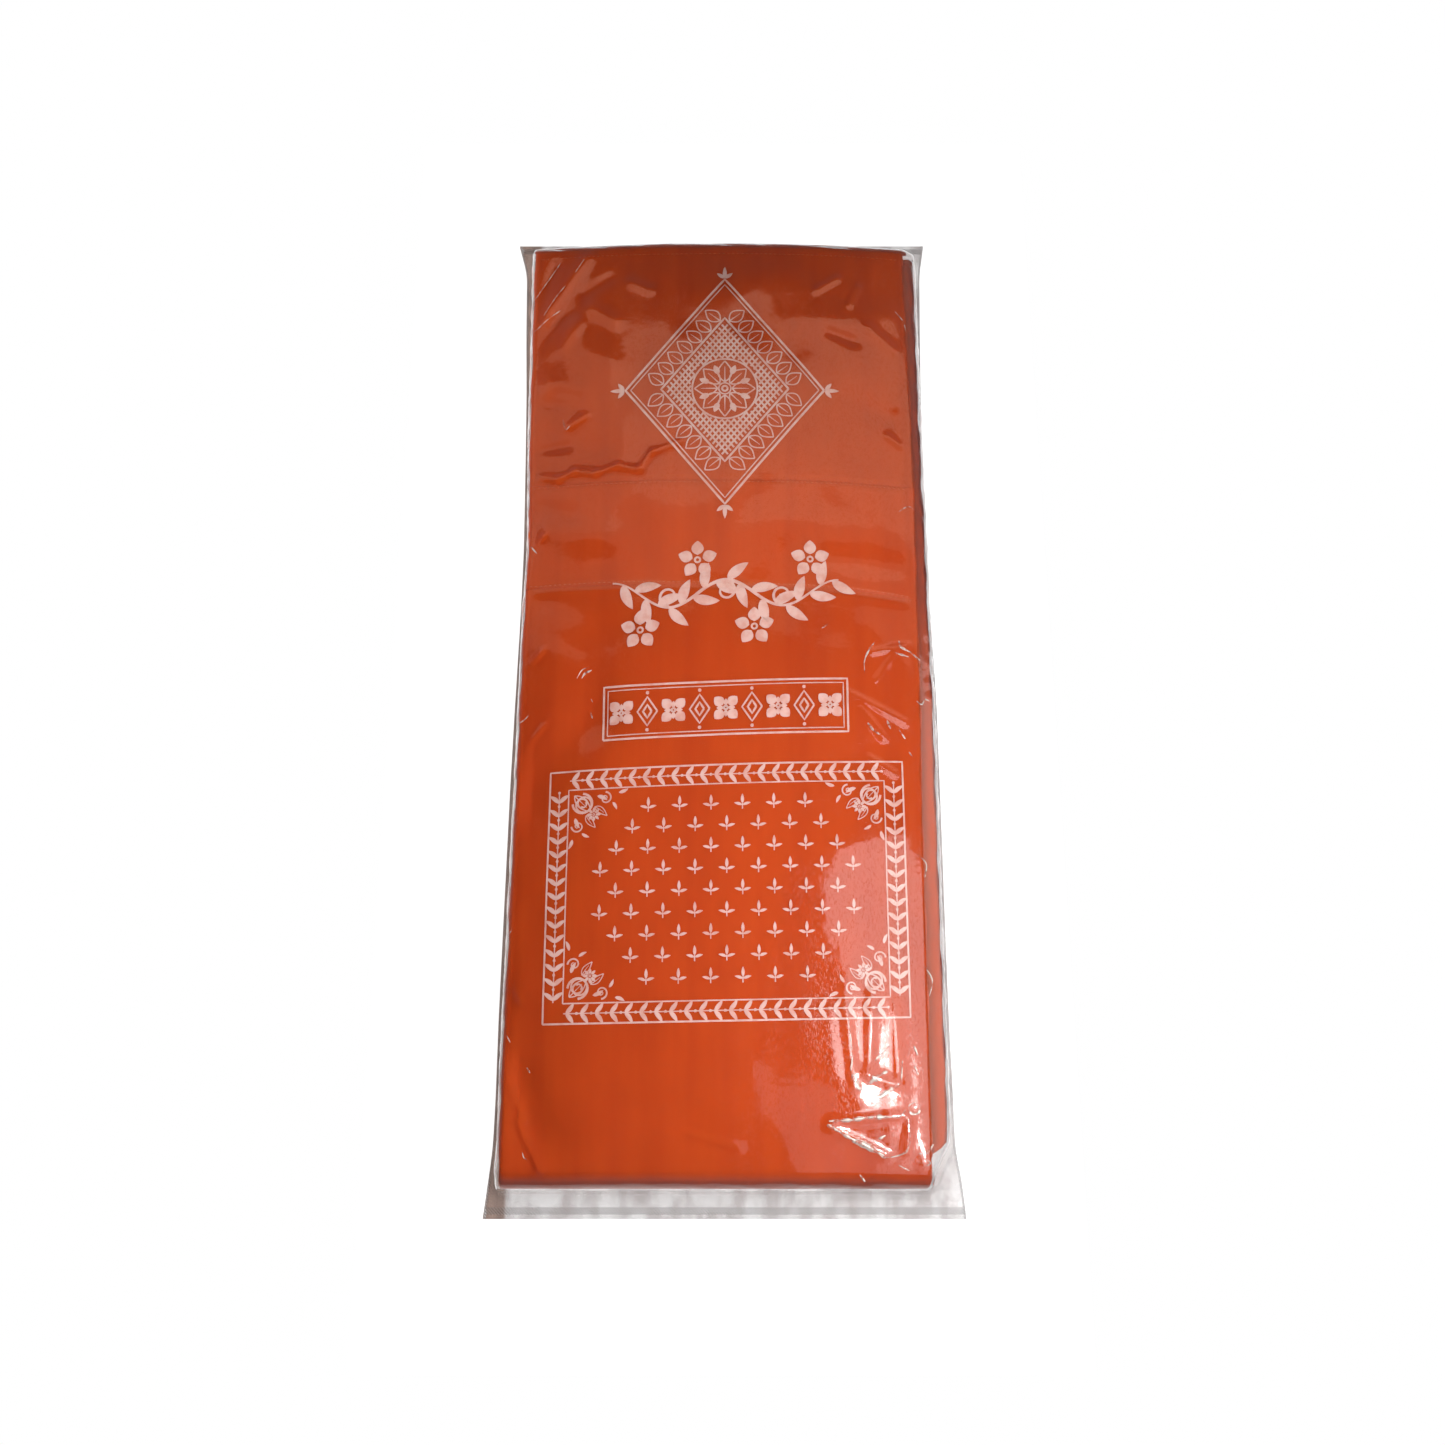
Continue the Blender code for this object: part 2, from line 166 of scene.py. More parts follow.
# Large folds of the cloth, which the film follows: a ridge has a height above nought
LARGE_FOLDS: Rows = (
    # start_x, start_y, end_x, end_y, half_width, height
    (-0.076, 0.016, -0.079, -0.029, 0.016, -0.0013),
    (-0.079, -0.029, -0.116, -0.074, 0.016, -0.0015),
    (-0.117, -0.240, -0.104, -0.272, 0.014, -0.0013),
    (-0.060, -0.120, -0.095, -0.150, 0.022, 0.0009),
    (0.060, 0.215, 0.085, 0.150, 0.024, -0.0008),
)

# Softer creases of the cloth, which the film follows too
SOFT_CREASES: Rows = (
    # start_x, start_y, end_x, end_y, half_width, height
    (-0.118, 0.050, -0.060, 0.030, 0.009, -0.0005),
    (-0.120, 0.020, -0.088, 0.004, 0.008, 0.0005),
    (-0.110, 0.094, -0.070, 0.088, 0.010, 0.0005),
    (-0.118, 0.112, -0.096, 0.104, 0.006, -0.0004),
    (0.030, 0.098, 0.110, 0.090, 0.013, 0.0005),
    (0.066, 0.074, 0.118, 0.070, 0.008, -0.0005),
    (-0.020, 0.100, 0.020, 0.070, 0.018, 0.0004),
    (-0.116, -0.088, -0.080, -0.078, 0.010, -0.0005),
    (-0.090, -0.095, -0.040, -0.066, 0.016, -0.0005),
    (-0.110, -0.150, -0.070, -0.175, 0.014, -0.0006),
    (-0.118, -0.190, -0.092, -0.196, 0.010, 0.0005),
    (-0.050, -0.180, -0.010, -0.215, 0.020, 0.0005),
    (0.040, -0.120, 0.100, -0.095, 0.016, 0.0005),
    (0.060, -0.060, 0.112, -0.040, 0.012, -0.0005),
    (0.020, 0.020, 0.080, 0.010, 0.014, 0.0004),
    (0.090, 0.030, 0.116, 0.000, 0.008, 0.0005),
    (-0.112, 0.160, -0.080, 0.150, 0.010, -0.0006),
    (-0.120, 0.200, -0.096, 0.186, 0.008, 0.0006),
    (-0.100, 0.235, -0.072, 0.206, 0.010, 0.0005),
    (0.070, 0.240, 0.112, 0.246, 0.012, 0.0006),
    (0.094, 0.180, 0.116, 0.170, 0.008, -0.0005),
    (-0.010, 0.262, 0.040, 0.270, 0.014, 0.0004),
    (0.000, -0.262, 0.060, -0.268, 0.012, 0.0004),
    (-0.060, -0.250, -0.020, -0.262, 0.012, -0.0004),
)

# Sharp creases of the film alone
FILM_CREASES: Rows = (
    # start_x, start_y, end_x, end_y, half_width, height
    (-0.118, 0.244, -0.090, 0.288, 0.0052, 0.0009),
    (-0.124, 0.256, -0.110, 0.284, 0.0044, -0.0007),
    (-0.122, 0.226, -0.102, 0.248, 0.0060, -0.0007),
    (-0.104, 0.222, -0.094, 0.240, 0.0046, 0.0005),
    (-0.090, 0.262, -0.074, 0.272, 0.0050, -0.0005),
    (-0.118, 0.184, -0.094, 0.180, 0.0050, -0.0006),
    (-0.120, 0.150, -0.100, 0.152, 0.0034, -0.0005),
    (-0.116, 0.132, -0.104, 0.129, 0.0026, 0.0007),
    (-0.104, 0.130, -0.094, 0.134, 0.0018, 0.0006),
    (-0.094, 0.134, -0.080, 0.132, 0.0026, 0.0007),
    (-0.080, 0.132, -0.066, 0.137, 0.0016, 0.0006),
    (-0.066, 0.136, -0.052, 0.133, 0.0024, 0.0007),
    (-0.052, 0.134, -0.044, 0.146, 0.0018, 0.0006),
    (-0.044, 0.145, -0.026, 0.152, 0.0022, 0.0005),
    (-0.106, 0.190, -0.092, 0.186, 0.0040, -0.0006),
    (-0.098, 0.166, -0.088, 0.172, 0.0030, 0.0006),
    (-0.086, 0.250, -0.070, 0.240, 0.0050, 0.0007),
    (-0.060, 0.268, -0.048, 0.262, 0.0040, 0.0006),
    (0.070, 0.232, 0.086, 0.226, 0.0036, -0.0006),
    (0.096, 0.236, 0.112, 0.222, 0.0044, 0.0007),
    (0.062, 0.262, 0.076, 0.272, 0.0024, 0.0006),
    (0.084, 0.252, 0.090, 0.266, 0.0022, 0.0006),
    (0.112, 0.180, 0.120, 0.196, 0.0020, 0.0007),
    (0.106, 0.160, 0.120, 0.150, 0.0022, 0.0006),
    (-0.122, 0.082, -0.112, 0.092, 0.0018, 0.0006),
    (-0.120, 0.006, -0.110, 0.016, 0.0016, 0.0006),
    (-0.121, -0.048, -0.108, -0.032, 0.0018, 0.0006),
    (0.092, 0.014, 0.118, 0.020, 0.0018, 0.0008),
    (0.094, -0.004, 0.106, 0.014, 0.0016, 0.0008),
    (0.076, -0.012, 0.112, -0.030, 0.0018, 0.0007),
    (0.084, -0.022, 0.098, -0.040, 0.0020, 0.0009),
    (0.088, -0.052, 0.104, -0.062, 0.0020, 0.0007),
    (0.018, -0.056, 0.024, -0.070, 0.0014, 0.0004),
    (0.070, -0.190, 0.075, -0.244, 0.0026, 0.0004),
    (0.086, -0.190, 0.084, -0.236, 0.0030, 0.0004),
    (0.100, -0.196, 0.101, -0.240, 0.0030, 0.0005),
    (0.060, -0.262, 0.104, -0.259, 0.0022, 0.0006),
    (0.060, -0.265, 0.092, -0.281, 0.0026, 0.0007),
    (0.106, -0.262, 0.104, -0.279, 0.0022, 0.0006),
    (0.080, -0.236, 0.101, -0.243, 0.0030, 0.0005),
    (-0.126, -0.180, -0.116, -0.196, 0.0016, 0.0006),
    (-0.124, -0.236, -0.112, -0.262, 0.0022, 0.0010),
    (-0.116, -0.262, -0.102, -0.288, 0.0022, 0.0009),
    (-0.020, -0.268, 0.010, -0.276, 0.0018, 0.0005),
)


# Sharp little folds of the film, in millimetres
FILM_FOLDS = (
    # width, height, points along the fold
    (1.0, 0.22, ((95, 22), (90, 15), (87, 8), (87, 0))),
    (1.1, 0.20, ((109, 22), (110, 18), (116, 15), (122, 10))),
    (1.0, 0.20, ((106, 14), (115, 12))),
    (0.8, 0.16, ((61, 28), (65, 31))),
    (1.6, 0.30, ((88, -31), (91, -35), (95, -38))),
    (1.3, 0.28, ((100, -29), (102, -34))),
    (1.1, 0.24, ((107, -34), (111, -40))),
    (0.8, 0.16, ((113, -48), (115, -51))),
    (0.9, 0.14, ((119, -16), (122, -18), (124, -15), (127, -16))),
    (1.0, 0.20, ((72, -205), (74, -226), (73, -234), (76, -242))),
    (2.6, 0.30, ((74, -236), (77, -243), (80, -245))),
    (2.6, 0.30, ((82, -243), (88, -238), (94, -235))),
    (2.2, 0.28, ((84, -246), (89, -249), (94, -246), (101, -242))),
    (0.9, 0.20, ((103, -229), (102, -240))),
    (1.6, 0.26, ((87, -229), (92, -224), (97, -220))),
    (1.2, 0.20, ((110, -221), (112, -226))),
    (1.2, 0.20, ((110, -232), (112, -237))),
    (1.1, 0.20, ((109, -252), (112, -254), (111, -258), (107, -258), (106, -254), (109, -252))),
    (1.9, 0.26, ((60, -262), (72, -261.5), (84, -260), (97, -260))),
    (0.9, 0.20, ((94, -260), (100, -260), (104, -256))),
    (3.0, 0.32, ((59, -264), (68, -269), (76, -274))),
    (2.6, 0.32, ((73, -272), (82, -276), (91, -281))),
    (1.1, 0.24, ((88, -280), (92, -282), (103, -279), (106, -270), (104, -263))),
    (1.8, 0.20, ((88, -272), (92, -270))),
    (1.5, 0.20, ((111, -280), (116, -279), (119, -275))),
    (1.3, 0.18, ((113, -287), (117, -285), (115, -283))),
    (0.8, 0.16, ((99, -286), (105, -289))),
    (0.9, 0.16, ((77, -291), (80, -295))),
    (0.7, 0.16, ((-113, -279), (-112, -282), (-110, -283))),
    (0.8, 0.16, ((-112, -233), (-110, -236))),
    (1.0, 0.20, ((-86, -3), (-84, 0), (-80, 2))),
    (0.8, 0.18, ((-80, -16), (-79, -18))),
    (0.8, 0.16, ((-80, -24), (-79, -28))),
    (0.5, 0.10, ((-82, 4), (-86, 2), (-89, -3))),
    (0.4, 0.14, ((-118, 247), (-110, 260), (-104, 268))),
    (0.4, 0.14, ((-98, 277), (-92, 287))),
    (0.4, 0.12, ((-126, 257), (-118, 270), (-108, 286))),
    (0.4, 0.12, ((-124, 236), (-115, 244), (-107, 250))),
    (0.6, 0.14, ((-121, 85), (-117, 80))),
    (0.5, 0.10, ((-103, 171), (-101, 164), (-98, 166))),
    (0.4, 0.10, ((-124, -30), (-120, -27), (-118, -24))),
    (0.4, 0.10, ((-125, -92), (-122, -89))),
    (0.4, 0.10, ((-126, -158), (-123, -154))),
    (0.4, 0.10, ((-125, -214), (-122, -219))),
    (0.5, 0.12, ((114, 250), (119, 244), (121, 236))),
    (0.5, 0.12, ((112, 108), (118, 112), (122, 110))),
    (0.6, 0.12, ((116, -110), (121, -116), (120, -124))),
    (0.6, 0.14, ((118, -176), (122, -184), (120, -193))),
)


def grid_lattice(seed: int, shape: tuple[int, int]) -> Points:
    """Makes a lattice of seeded values from -1 to 1."""
    return np.random.default_rng(seed).uniform(-1, 1, shape)


@dataclass(frozen=True)
class SmoothNoise:
    """An uneven height field with one typical wavelength."""

    wavelength: float
    height: float
    seed: int
    stretch: float = 1.0
    size: int = 128

    def at(self, x: Points, y: Points) -> Points:
        """Returns the height at each place.

        Args:
            x: Places across, in metres.
            y: Places along, in metres. The field is stretched this way.

        Returns:
            Heights in metres.
        """
        lattice = grid_lattice(self.seed, (self.size, self.size))
        u = np.asarray(x) / self.wavelength + self.size / 2
        v = np.asarray(y) / (self.wavelength * self.stretch) + self.size / 2
        i = np.floor(u).astype(int)
        j = np.floor(v).astype(int)
        total = np.zeros(np.broadcast(u, v).shape)
        for di in (-1, 0, 1, 2):
            for dj in (-1, 0, 1, 2):
                weight = bell(u - (i + di)) * bell(v - (j + dj))
                total += weight * lattice[(i + di) % self.size, (j + dj) % self.size]
        return total * self.height


def bell(distance: Points) -> Points:
    """Weighs a place of a lattice, as a cubic B-spline does.

    Args:
        distance: How far away it is, in lattice steps.

    Returns:
        Its weight, nought from two steps on.
    """
    d = np.abs(distance)
    inner = 2 / 3 - d**2 + d**3 / 2
    outer = np.clip(2 - d, 0, None) ** 3 / 6
    return np.where(d < 1, inner, outer)


def rising(value: Points, start: float, stop: float) -> Points:
    """Returns how far each value is from start to stop, held between 0 and 1."""
    return np.clip((value - start) / (stop - start), 0, 1)


def crease_height(rows: Rows, x: Points, y: Points) -> Points:
    """Adds up creases at each place.

    Args:
        rows: start_x, start_y, end_x, end_y, half_width and height of each crease.
        x: Places across.
        y: Places along.

    Returns:
        Heights in metres.
    """
    total = np.zeros(np.broadcast(x, y).shape)
    for start_x, start_y, end_x, end_y, half_width, height in rows:
        run_x, run_y = end_x - start_x, end_y - start_y
        along = ((x - start_x) * run_x + (y - start_y) * run_y) / (run_x**2 + run_y**2)
        along = np.clip(along, 0, 1)
        away = np.hypot(x - start_x - along * run_x, y - start_y - along * run_y)
        total += height * np.exp(-((away / half_width) ** 2))
    return total


@dataclass(frozen=True)
class FoldedStack:
    """The shape that every piece follows, with the sizes of the solids."""

    film_wall: float = 0.0005
    gap: float = 0.0003
    panel_wall: float = 0.0012
    band_proud: float = 0.0005
    top: float = 0.0265
    near: float = -0.300
    lower_far: float = 0.300
    upper_far: float = 0.296
    wrap_reach: float = 0.011
    inner_fold_reach: float = 0.008
    bag_end: float = 0.318
    crown: float = 0.0115
    crown_power: float = 2.2
    level_edge: float = 0.003
    fold_fade: float = 0.06
    scallop: float = 0.0006
    scallop_waves: tuple[float, float, float] = (0.0066, 0.0039, 0.045)
    cloth_swell: SmoothNoise = SmoothNoise(0.021, 0.00035, 3)
    cloth_ripple: SmoothNoise = SmoothNoise(0.0075, 0.00008, 4, stretch=0.8)
    film_swell: SmoothNoise = SmoothNoise(0.017, 0.00060, 5, stretch=1.3)
    film_ripple: SmoothNoise = SmoothNoise(0.0090, 0.00022, 6, stretch=1.4)
    film_pull: SmoothNoise = SmoothNoise(0.0045, 0.00016, 11, stretch=6.0)
    pulled_x: Pair = (0.065, 0.085)
    pulled_y: Pair = (-0.12, -0.17)
    pucker: float = 0.00016
    pucker_pitch: float = 0.0031
    pucker_reach: float = 0.0016
    seam_trough: float = 0.00090
    trough_reach: float = 0.0019
    seam_ridge: float = 0.00050
    ridge_back: float = 0.0033
    ridge_reach: float = 0.0027
    full_crown_depth: float = 0.003

    @property
    def bottom(self) -> float:
        """The height of the lowest cloth."""
        return self.film_wall + self.gap

    @property
    def film_floor(self) -> float:
        """The height of the front film where both films lie flat."""
        return self.bottom + self.film_wall

    @property
    def film_out(self) -> float:
        """How far the front film stands out from the top layer."""
        return self.band_proud + self.gap + self.film_wall

    @property
    def layer_height(self) -> float:
        """The height of one of the layers that show on the sides."""
        return (self.top - self.bottom) / len(LAYERS)

    @property
    def shoulder(self) -> float:
        """How far down and in the top layer turns at its edges."""
        return self.layer_height - self.gap

    @property
    def core_inset(self) -> float:
        """How far the hidden layers stand back from the top layer."""
        return self.panel_wall + 2.5 * self.gap

    def edge(self, which: Edge, y: Points, spread: float = 0.008) -> Points:
        """Returns the place of an edge, evened out over a short stretch.

        Args:
            which: The edge.
            y: Places along the stack.
            spread: Half of the stretch, in metres.

        Returns:
            Places across, or the crown's share.
        """
        steps = [
            np.interp(np.asarray(y) + spread * part, EDGES[:, 0], EDGES[:, which.value])
            for part in (-1, -0.5, 0, 0.5, 1)
        ]
        return np.mean(steps, axis=0)

    def scallops(self, y: Points, phase: float) -> Points:
        """Makes a cloth edge swing in and out along the stack.

        Args:
            y: Places along the stack.
            phase: Where the swing starts, which differs from layer to layer.

        Returns:
            How far it swings at each place.
        """
        long, short, drift = self.scallop_waves
        wave = np.sin(y / long + phase + np.sin(y / drift)) + 0.6 * np.sin(y / short + 2.3 * phase)
        return self.scallop * 0.6 * wave

    def left(self, layer: int, y: Points) -> Points:
        """Returns the left edge of a layer."""
        back = LAYERS[layer][1]
        return self.edge(Edge.LEFT, y) + back + self.scallops(y, 1.0 + 0.9 * layer)

    def right(self, layer: int, y: Points) -> Points:
        """Follows the right edge of a layer.

        Args:
            layer: The layer, from the floor up.
            y: Places along the stack.

        Returns:
            The distance across at each place.
        """
        which, _, back, _ = LAYERS[layer]
        spread = 0.002 if which is Edge.MIDDLE_RIGHT else 0.008
        return self.edge(which, y, spread) - back + self.scallops(y, 4.0 + 1.3 * layer)

    def seam(self, which: Seam, x: Points) -> Points:
        """Follows a seam of the cross band.

        Args:
            which: The seam.
            x: Places across.

        Returns:
            Its place along the stack at each x.
        """
        return np.mean(
            [np.interp(x + step, SEAMS[:, 0], SEAMS[:, which.value]) for step in (-0.012, 0, 0.012)],
            axis=0,
        )

    def lifted(self, points: Points, relief: float | Points = 0.0) -> Points:
        """Lifts points of the flat-topped stack into its crown, folds and relief.

        Args:
            points: Places, with x, y and z last.
            relief: More height for points at the top.

        Returns:
            The lifted places.
        """
        x, y, z = np.moveaxis(points, -1, 0)
        left = self.edge(Edge.LEFT, y) + LAYERS[TOP_LAYER][1]
        right = self.edge(Edge.TOP_RIGHT, y) - LAYERS[TOP_LAYER][2]
        half_width = (right - left) / 2 - self.level_edge
        across = np.minimum(np.abs(x - (left + right) / 2) / half_width, 1)
        crown = self.crown * self.edge(Edge.CROWN, y) * (1 - across**self.crown_power)
        creases = crease_height(LARGE_FOLDS, x, y) + crease_height(SOFT_CREASES, x, y)
        folds = creases + relief + self.ridge_at_seam(x, y)
        inside = np.minimum((1 - across) / self.fold_fade, 1)
        share = rising(z, self.film_floor, self.top - self.full_crown_depth)
        return np.stack([x, y, z + (crown + folds * inside) * share], axis=-1)

    def ridge_at_seam(self, x: Points, y: Points) -> Points:
        """Returns the low ridge of the near panel along its seam."""
        away = y - self.seam(Seam.NEAR, x) + self.ridge_back
        return self.seam_ridge * np.exp(-((away / self.ridge_reach) ** 2))

    def seam_relief(self, x: Points, y: Points) -> Points:
        """Makes the shallow trough and the puckers along both seams.

        Args:
            x: Places across.
            y: Places along.

        Returns:
            Heights.
        """
        total = np.zeros(np.broadcast(x, y).shape)
        for which in Seam:
            away = y - self.seam(which, x)
            puckers = self.pucker * np.cos(2 * math.pi * x / self.pucker_pitch)
            total += puckers * np.exp(-((away / self.pucker_reach) ** 2))
            total -= self.seam_trough * np.exp(-((away / self.trough_reach) ** 2))
        return total

    def cloth_relief(self, x: Points, y: Points) -> Points:
        """Returns the cloth's own unevenness."""
        return self.cloth_swell.at(x, y) + self.cloth_ripple.at(x, y) + self.seam_relief(x, y)

    def film_relief(self, x: Points, y: Points) -> Points:
        """Makes the film's own unevenness and creases.

        Args:
            x: Places across.
            y: Places along.

        Returns:
            Heights.
        """
        swell = self.film_swell.at(x, y) + self.film_ripple.at(x, y)
        pulled = rising(x, *self.pulled_x) * rising(y, *self.pulled_y)
        return swell + crease_height(FILM_CREASES, x, y) + pulled * self.film_pull.at(x, y)

    def cloth(self, points: Points) -> Points:
        """Lifts points of the cloth."""
        return self.lifted(points, self.cloth_relief(points[..., 0], points[..., 1]))

    def film(self, points: Points) -> Points:
        """Lifts points of the film."""
        return self.lifted(points, self.film_relief(points[..., 0], points[..., 1]))

    def on_film(self, x: Points, y: Points, depth: float) -> Points:
        """Returns places a little below the film's top face.

        Args:
            x: Places across.
            y: Places along.
            depth: How far below.

        Returns:
            Places with x, y and z last.
        """
        z = np.full(np.shape(x), self.top + self.film_out - depth)
        return self.film(np.stack([x, y, z], axis=-1))

    def wrap_y(self, z: Points, inset: float) -> Points:
        """Finds where the near end lies at a height.

        Args:
            z: The height.
            inset: How far it stands back.

        Returns:
            Its place along the stack.
        """
        middle = (self.bottom + self.top) / 2
        half = (self.top - self.bottom) / 2
        rise = np.minimum(np.abs(z - middle) / (half - inset), 1)
        return self.near + self.wrap_reach - (self.wrap_reach - inset) * np.sqrt(1 - rise**2)

    def inner_fold_y(self, z: float) -> float:
        """Finds where the fold of the lower packets lies at a height.

        Args:
            z: The height.

        Returns:
            Its place along the stack.
        """
        half = LOWER_LAYERS * self.layer_height / 2
        rise = min(abs(z - self.bottom - half) / half, 1.0)
        return self.lower_far - self.inner_fold_reach * (1 - math.sqrt(1 - rise**2))


STACK = FoldedStack()


def evened(values: Points, axis: int, rounds: int) -> Points:
    """Rounds off corners along one axis, with both ends held.

    Args:
        values: Values to even out.
        axis: The axis to work along.
        rounds: How many times.

    Returns:
        The evened values.
    """
    out = np.moveaxis(np.array(values, float), axis, 0)
    for _ in range(rounds):
        out[1:-1] = (out[:-2] + 2 * out[1:-1] + out[2:]) / 4
    return np.moveaxis(out, 0, axis)


def smooth_path(points: Points, step: float) -> Points:
    """Makes an even smooth path through some points.

    Args:
        points: The points, with x and y.
        step: The distance between two points of the path.

    Returns:
        The path's points.
    """
    before = 2 * points[0] - points[1]
    after = 2 * points[-1] - points[-2]
    held = np.concatenate([[before], points, [after]])
    path = [points[:1]]
    for a, b, c, d in zip(held, held[1:], held[2:], held[3:]):
        steps = max(int(math.ceil(np.linalg.norm(c - b) / step)), 1)
        t = np.linspace(0, 1, steps + 1)[1:, None]
        slope, bend, twist = c - a, 2 * a - 5 * b + 4 * c - d, 3 * b - a - 3 * c + d
        path.append(0.5 * (2 * b + slope * t + bend * t**2 + twist * t**3))
    return np.concatenate(path)


def sideways(line: Points) -> Points:
    """Finds the direction to the left of a line in the plane.

    Args:
        line: The line's points.

    Returns:
        A direction of length one for each point.
    """
    direction = np.gradient(line, axis=0)
    direction /= np.maximum(np.linalg.norm(direction, axis=1, keepdims=True), 1e-9)
    return np.stack([-direction[:, 1], direction[:, 0]], axis=-1)


def grid_faces(rows: int, columns: int, loops: bool = False, turned: bool = False) -> Faces:
    """Makes the four-sided faces of a grid of points.

    Args:
        rows: How many rows it has.
        columns: How many points a row has.
        loops: Whether each row closes on itself.
        turned: Whether the faces look the other way.

    Returns:
        Four corners for each face.
    """
    index = np.arange(rows * columns).reshape(rows, columns)
    if loops:
        index = np.concatenate([index, index[:, :1]], axis=1)
    one, other = index[:-1], index[1:]
    corners = (one[:, :-1], one[:, 1:], other[:, 1:], other[:, :-1])
    if turned:
        corners = (one[:, 1:], one[:, :-1], other[:, :-1], other[:, 1:])
    return np.stack(corners, axis=-1).reshape(-1, 4)


def joined(parts: list[tuple[Points, Faces]]) -> tuple[Points, Faces]:
    """Joins several sets of points and faces.

    Args:
        parts: The points and the faces of each.

    Returns:
        All the points, and all the faces with their corners numbered anew.
    """
    counts = np.cumsum([0] + [len(points) for points, _ in parts])
    faces = [faces + count for (_, faces), count in zip(parts, counts)]
    return np.concatenate([points for points, _ in parts]), np.concatenate(faces)


def mesh_from_grid(name: str, points: Points, loops: bool = False) -> bpy.types.Mesh:
    """Makes a mesh of four-sided faces through a grid of points.

    Args:
        name: The mesh's name.
        points: Rows, columns, and x, y and z.
        loops: Whether each row closes on itself.

    Returns:
        The mesh, shaded smooth.
    """
    rows, columns = points.shape[:2]
    return mesh_from_faces(name, points.reshape(-1, 3), grid_faces(rows, columns, loops))


def mesh_from_faces(name: str, points: Points, faces: Faces) -> bpy.types.Mesh:
    """Makes a mesh of points and faces.

    Args:
        name: The mesh's name.
        points: A row of x, y and z for each point.
        faces: A row of corners for each face, as many for each.

    Returns:
        The mesh, shaded smooth.
    """
    mesh = bpy.data.meshes.new(name)
    mesh.vertices.add(len(points))
    mesh.vertices.foreach_set("co", np.ascontiguousarray(points, np.float32).ravel())
    mesh.loops.add(faces.size)
    mesh.loops.foreach_set("vertex_index", faces.astype(np.int32).ravel())
    mesh.polygons.add(len(faces))
    starts = np.arange(0, faces.size, faces.shape[1], dtype=np.int32)
    mesh.polygons.foreach_set("loop_start", starts)
    mesh.update(calc_edges=True)
    mesh.validate()
    mesh.shade_smooth()
    return mesh


def linked(name: str, data: bpy.types.ID) -> bpy.types.Object:
    """Adds an object to the scene.

    Args:
        name: Its name.
        data: Its mesh, light or camera.

    Returns:
        The object.
    """
    made = bpy.data.objects.new(name, data)
    bpy.context.scene.collection.objects.link(made)
    return made


def add_piece(name: str, mesh: bpy.types.Mesh, finish: bpy.types.Material) -> bpy.types.Object:
    """Adds a mesh to the scene as a piece that rides with the part.

    Args:
        name: The piece's name.
        mesh: Its mesh.
        finish: Its material.

    Returns:
        The piece.
    """
    mesh.materials.append(finish)
    piece = linked(name, mesh)
    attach(piece, BODY)
    return piece


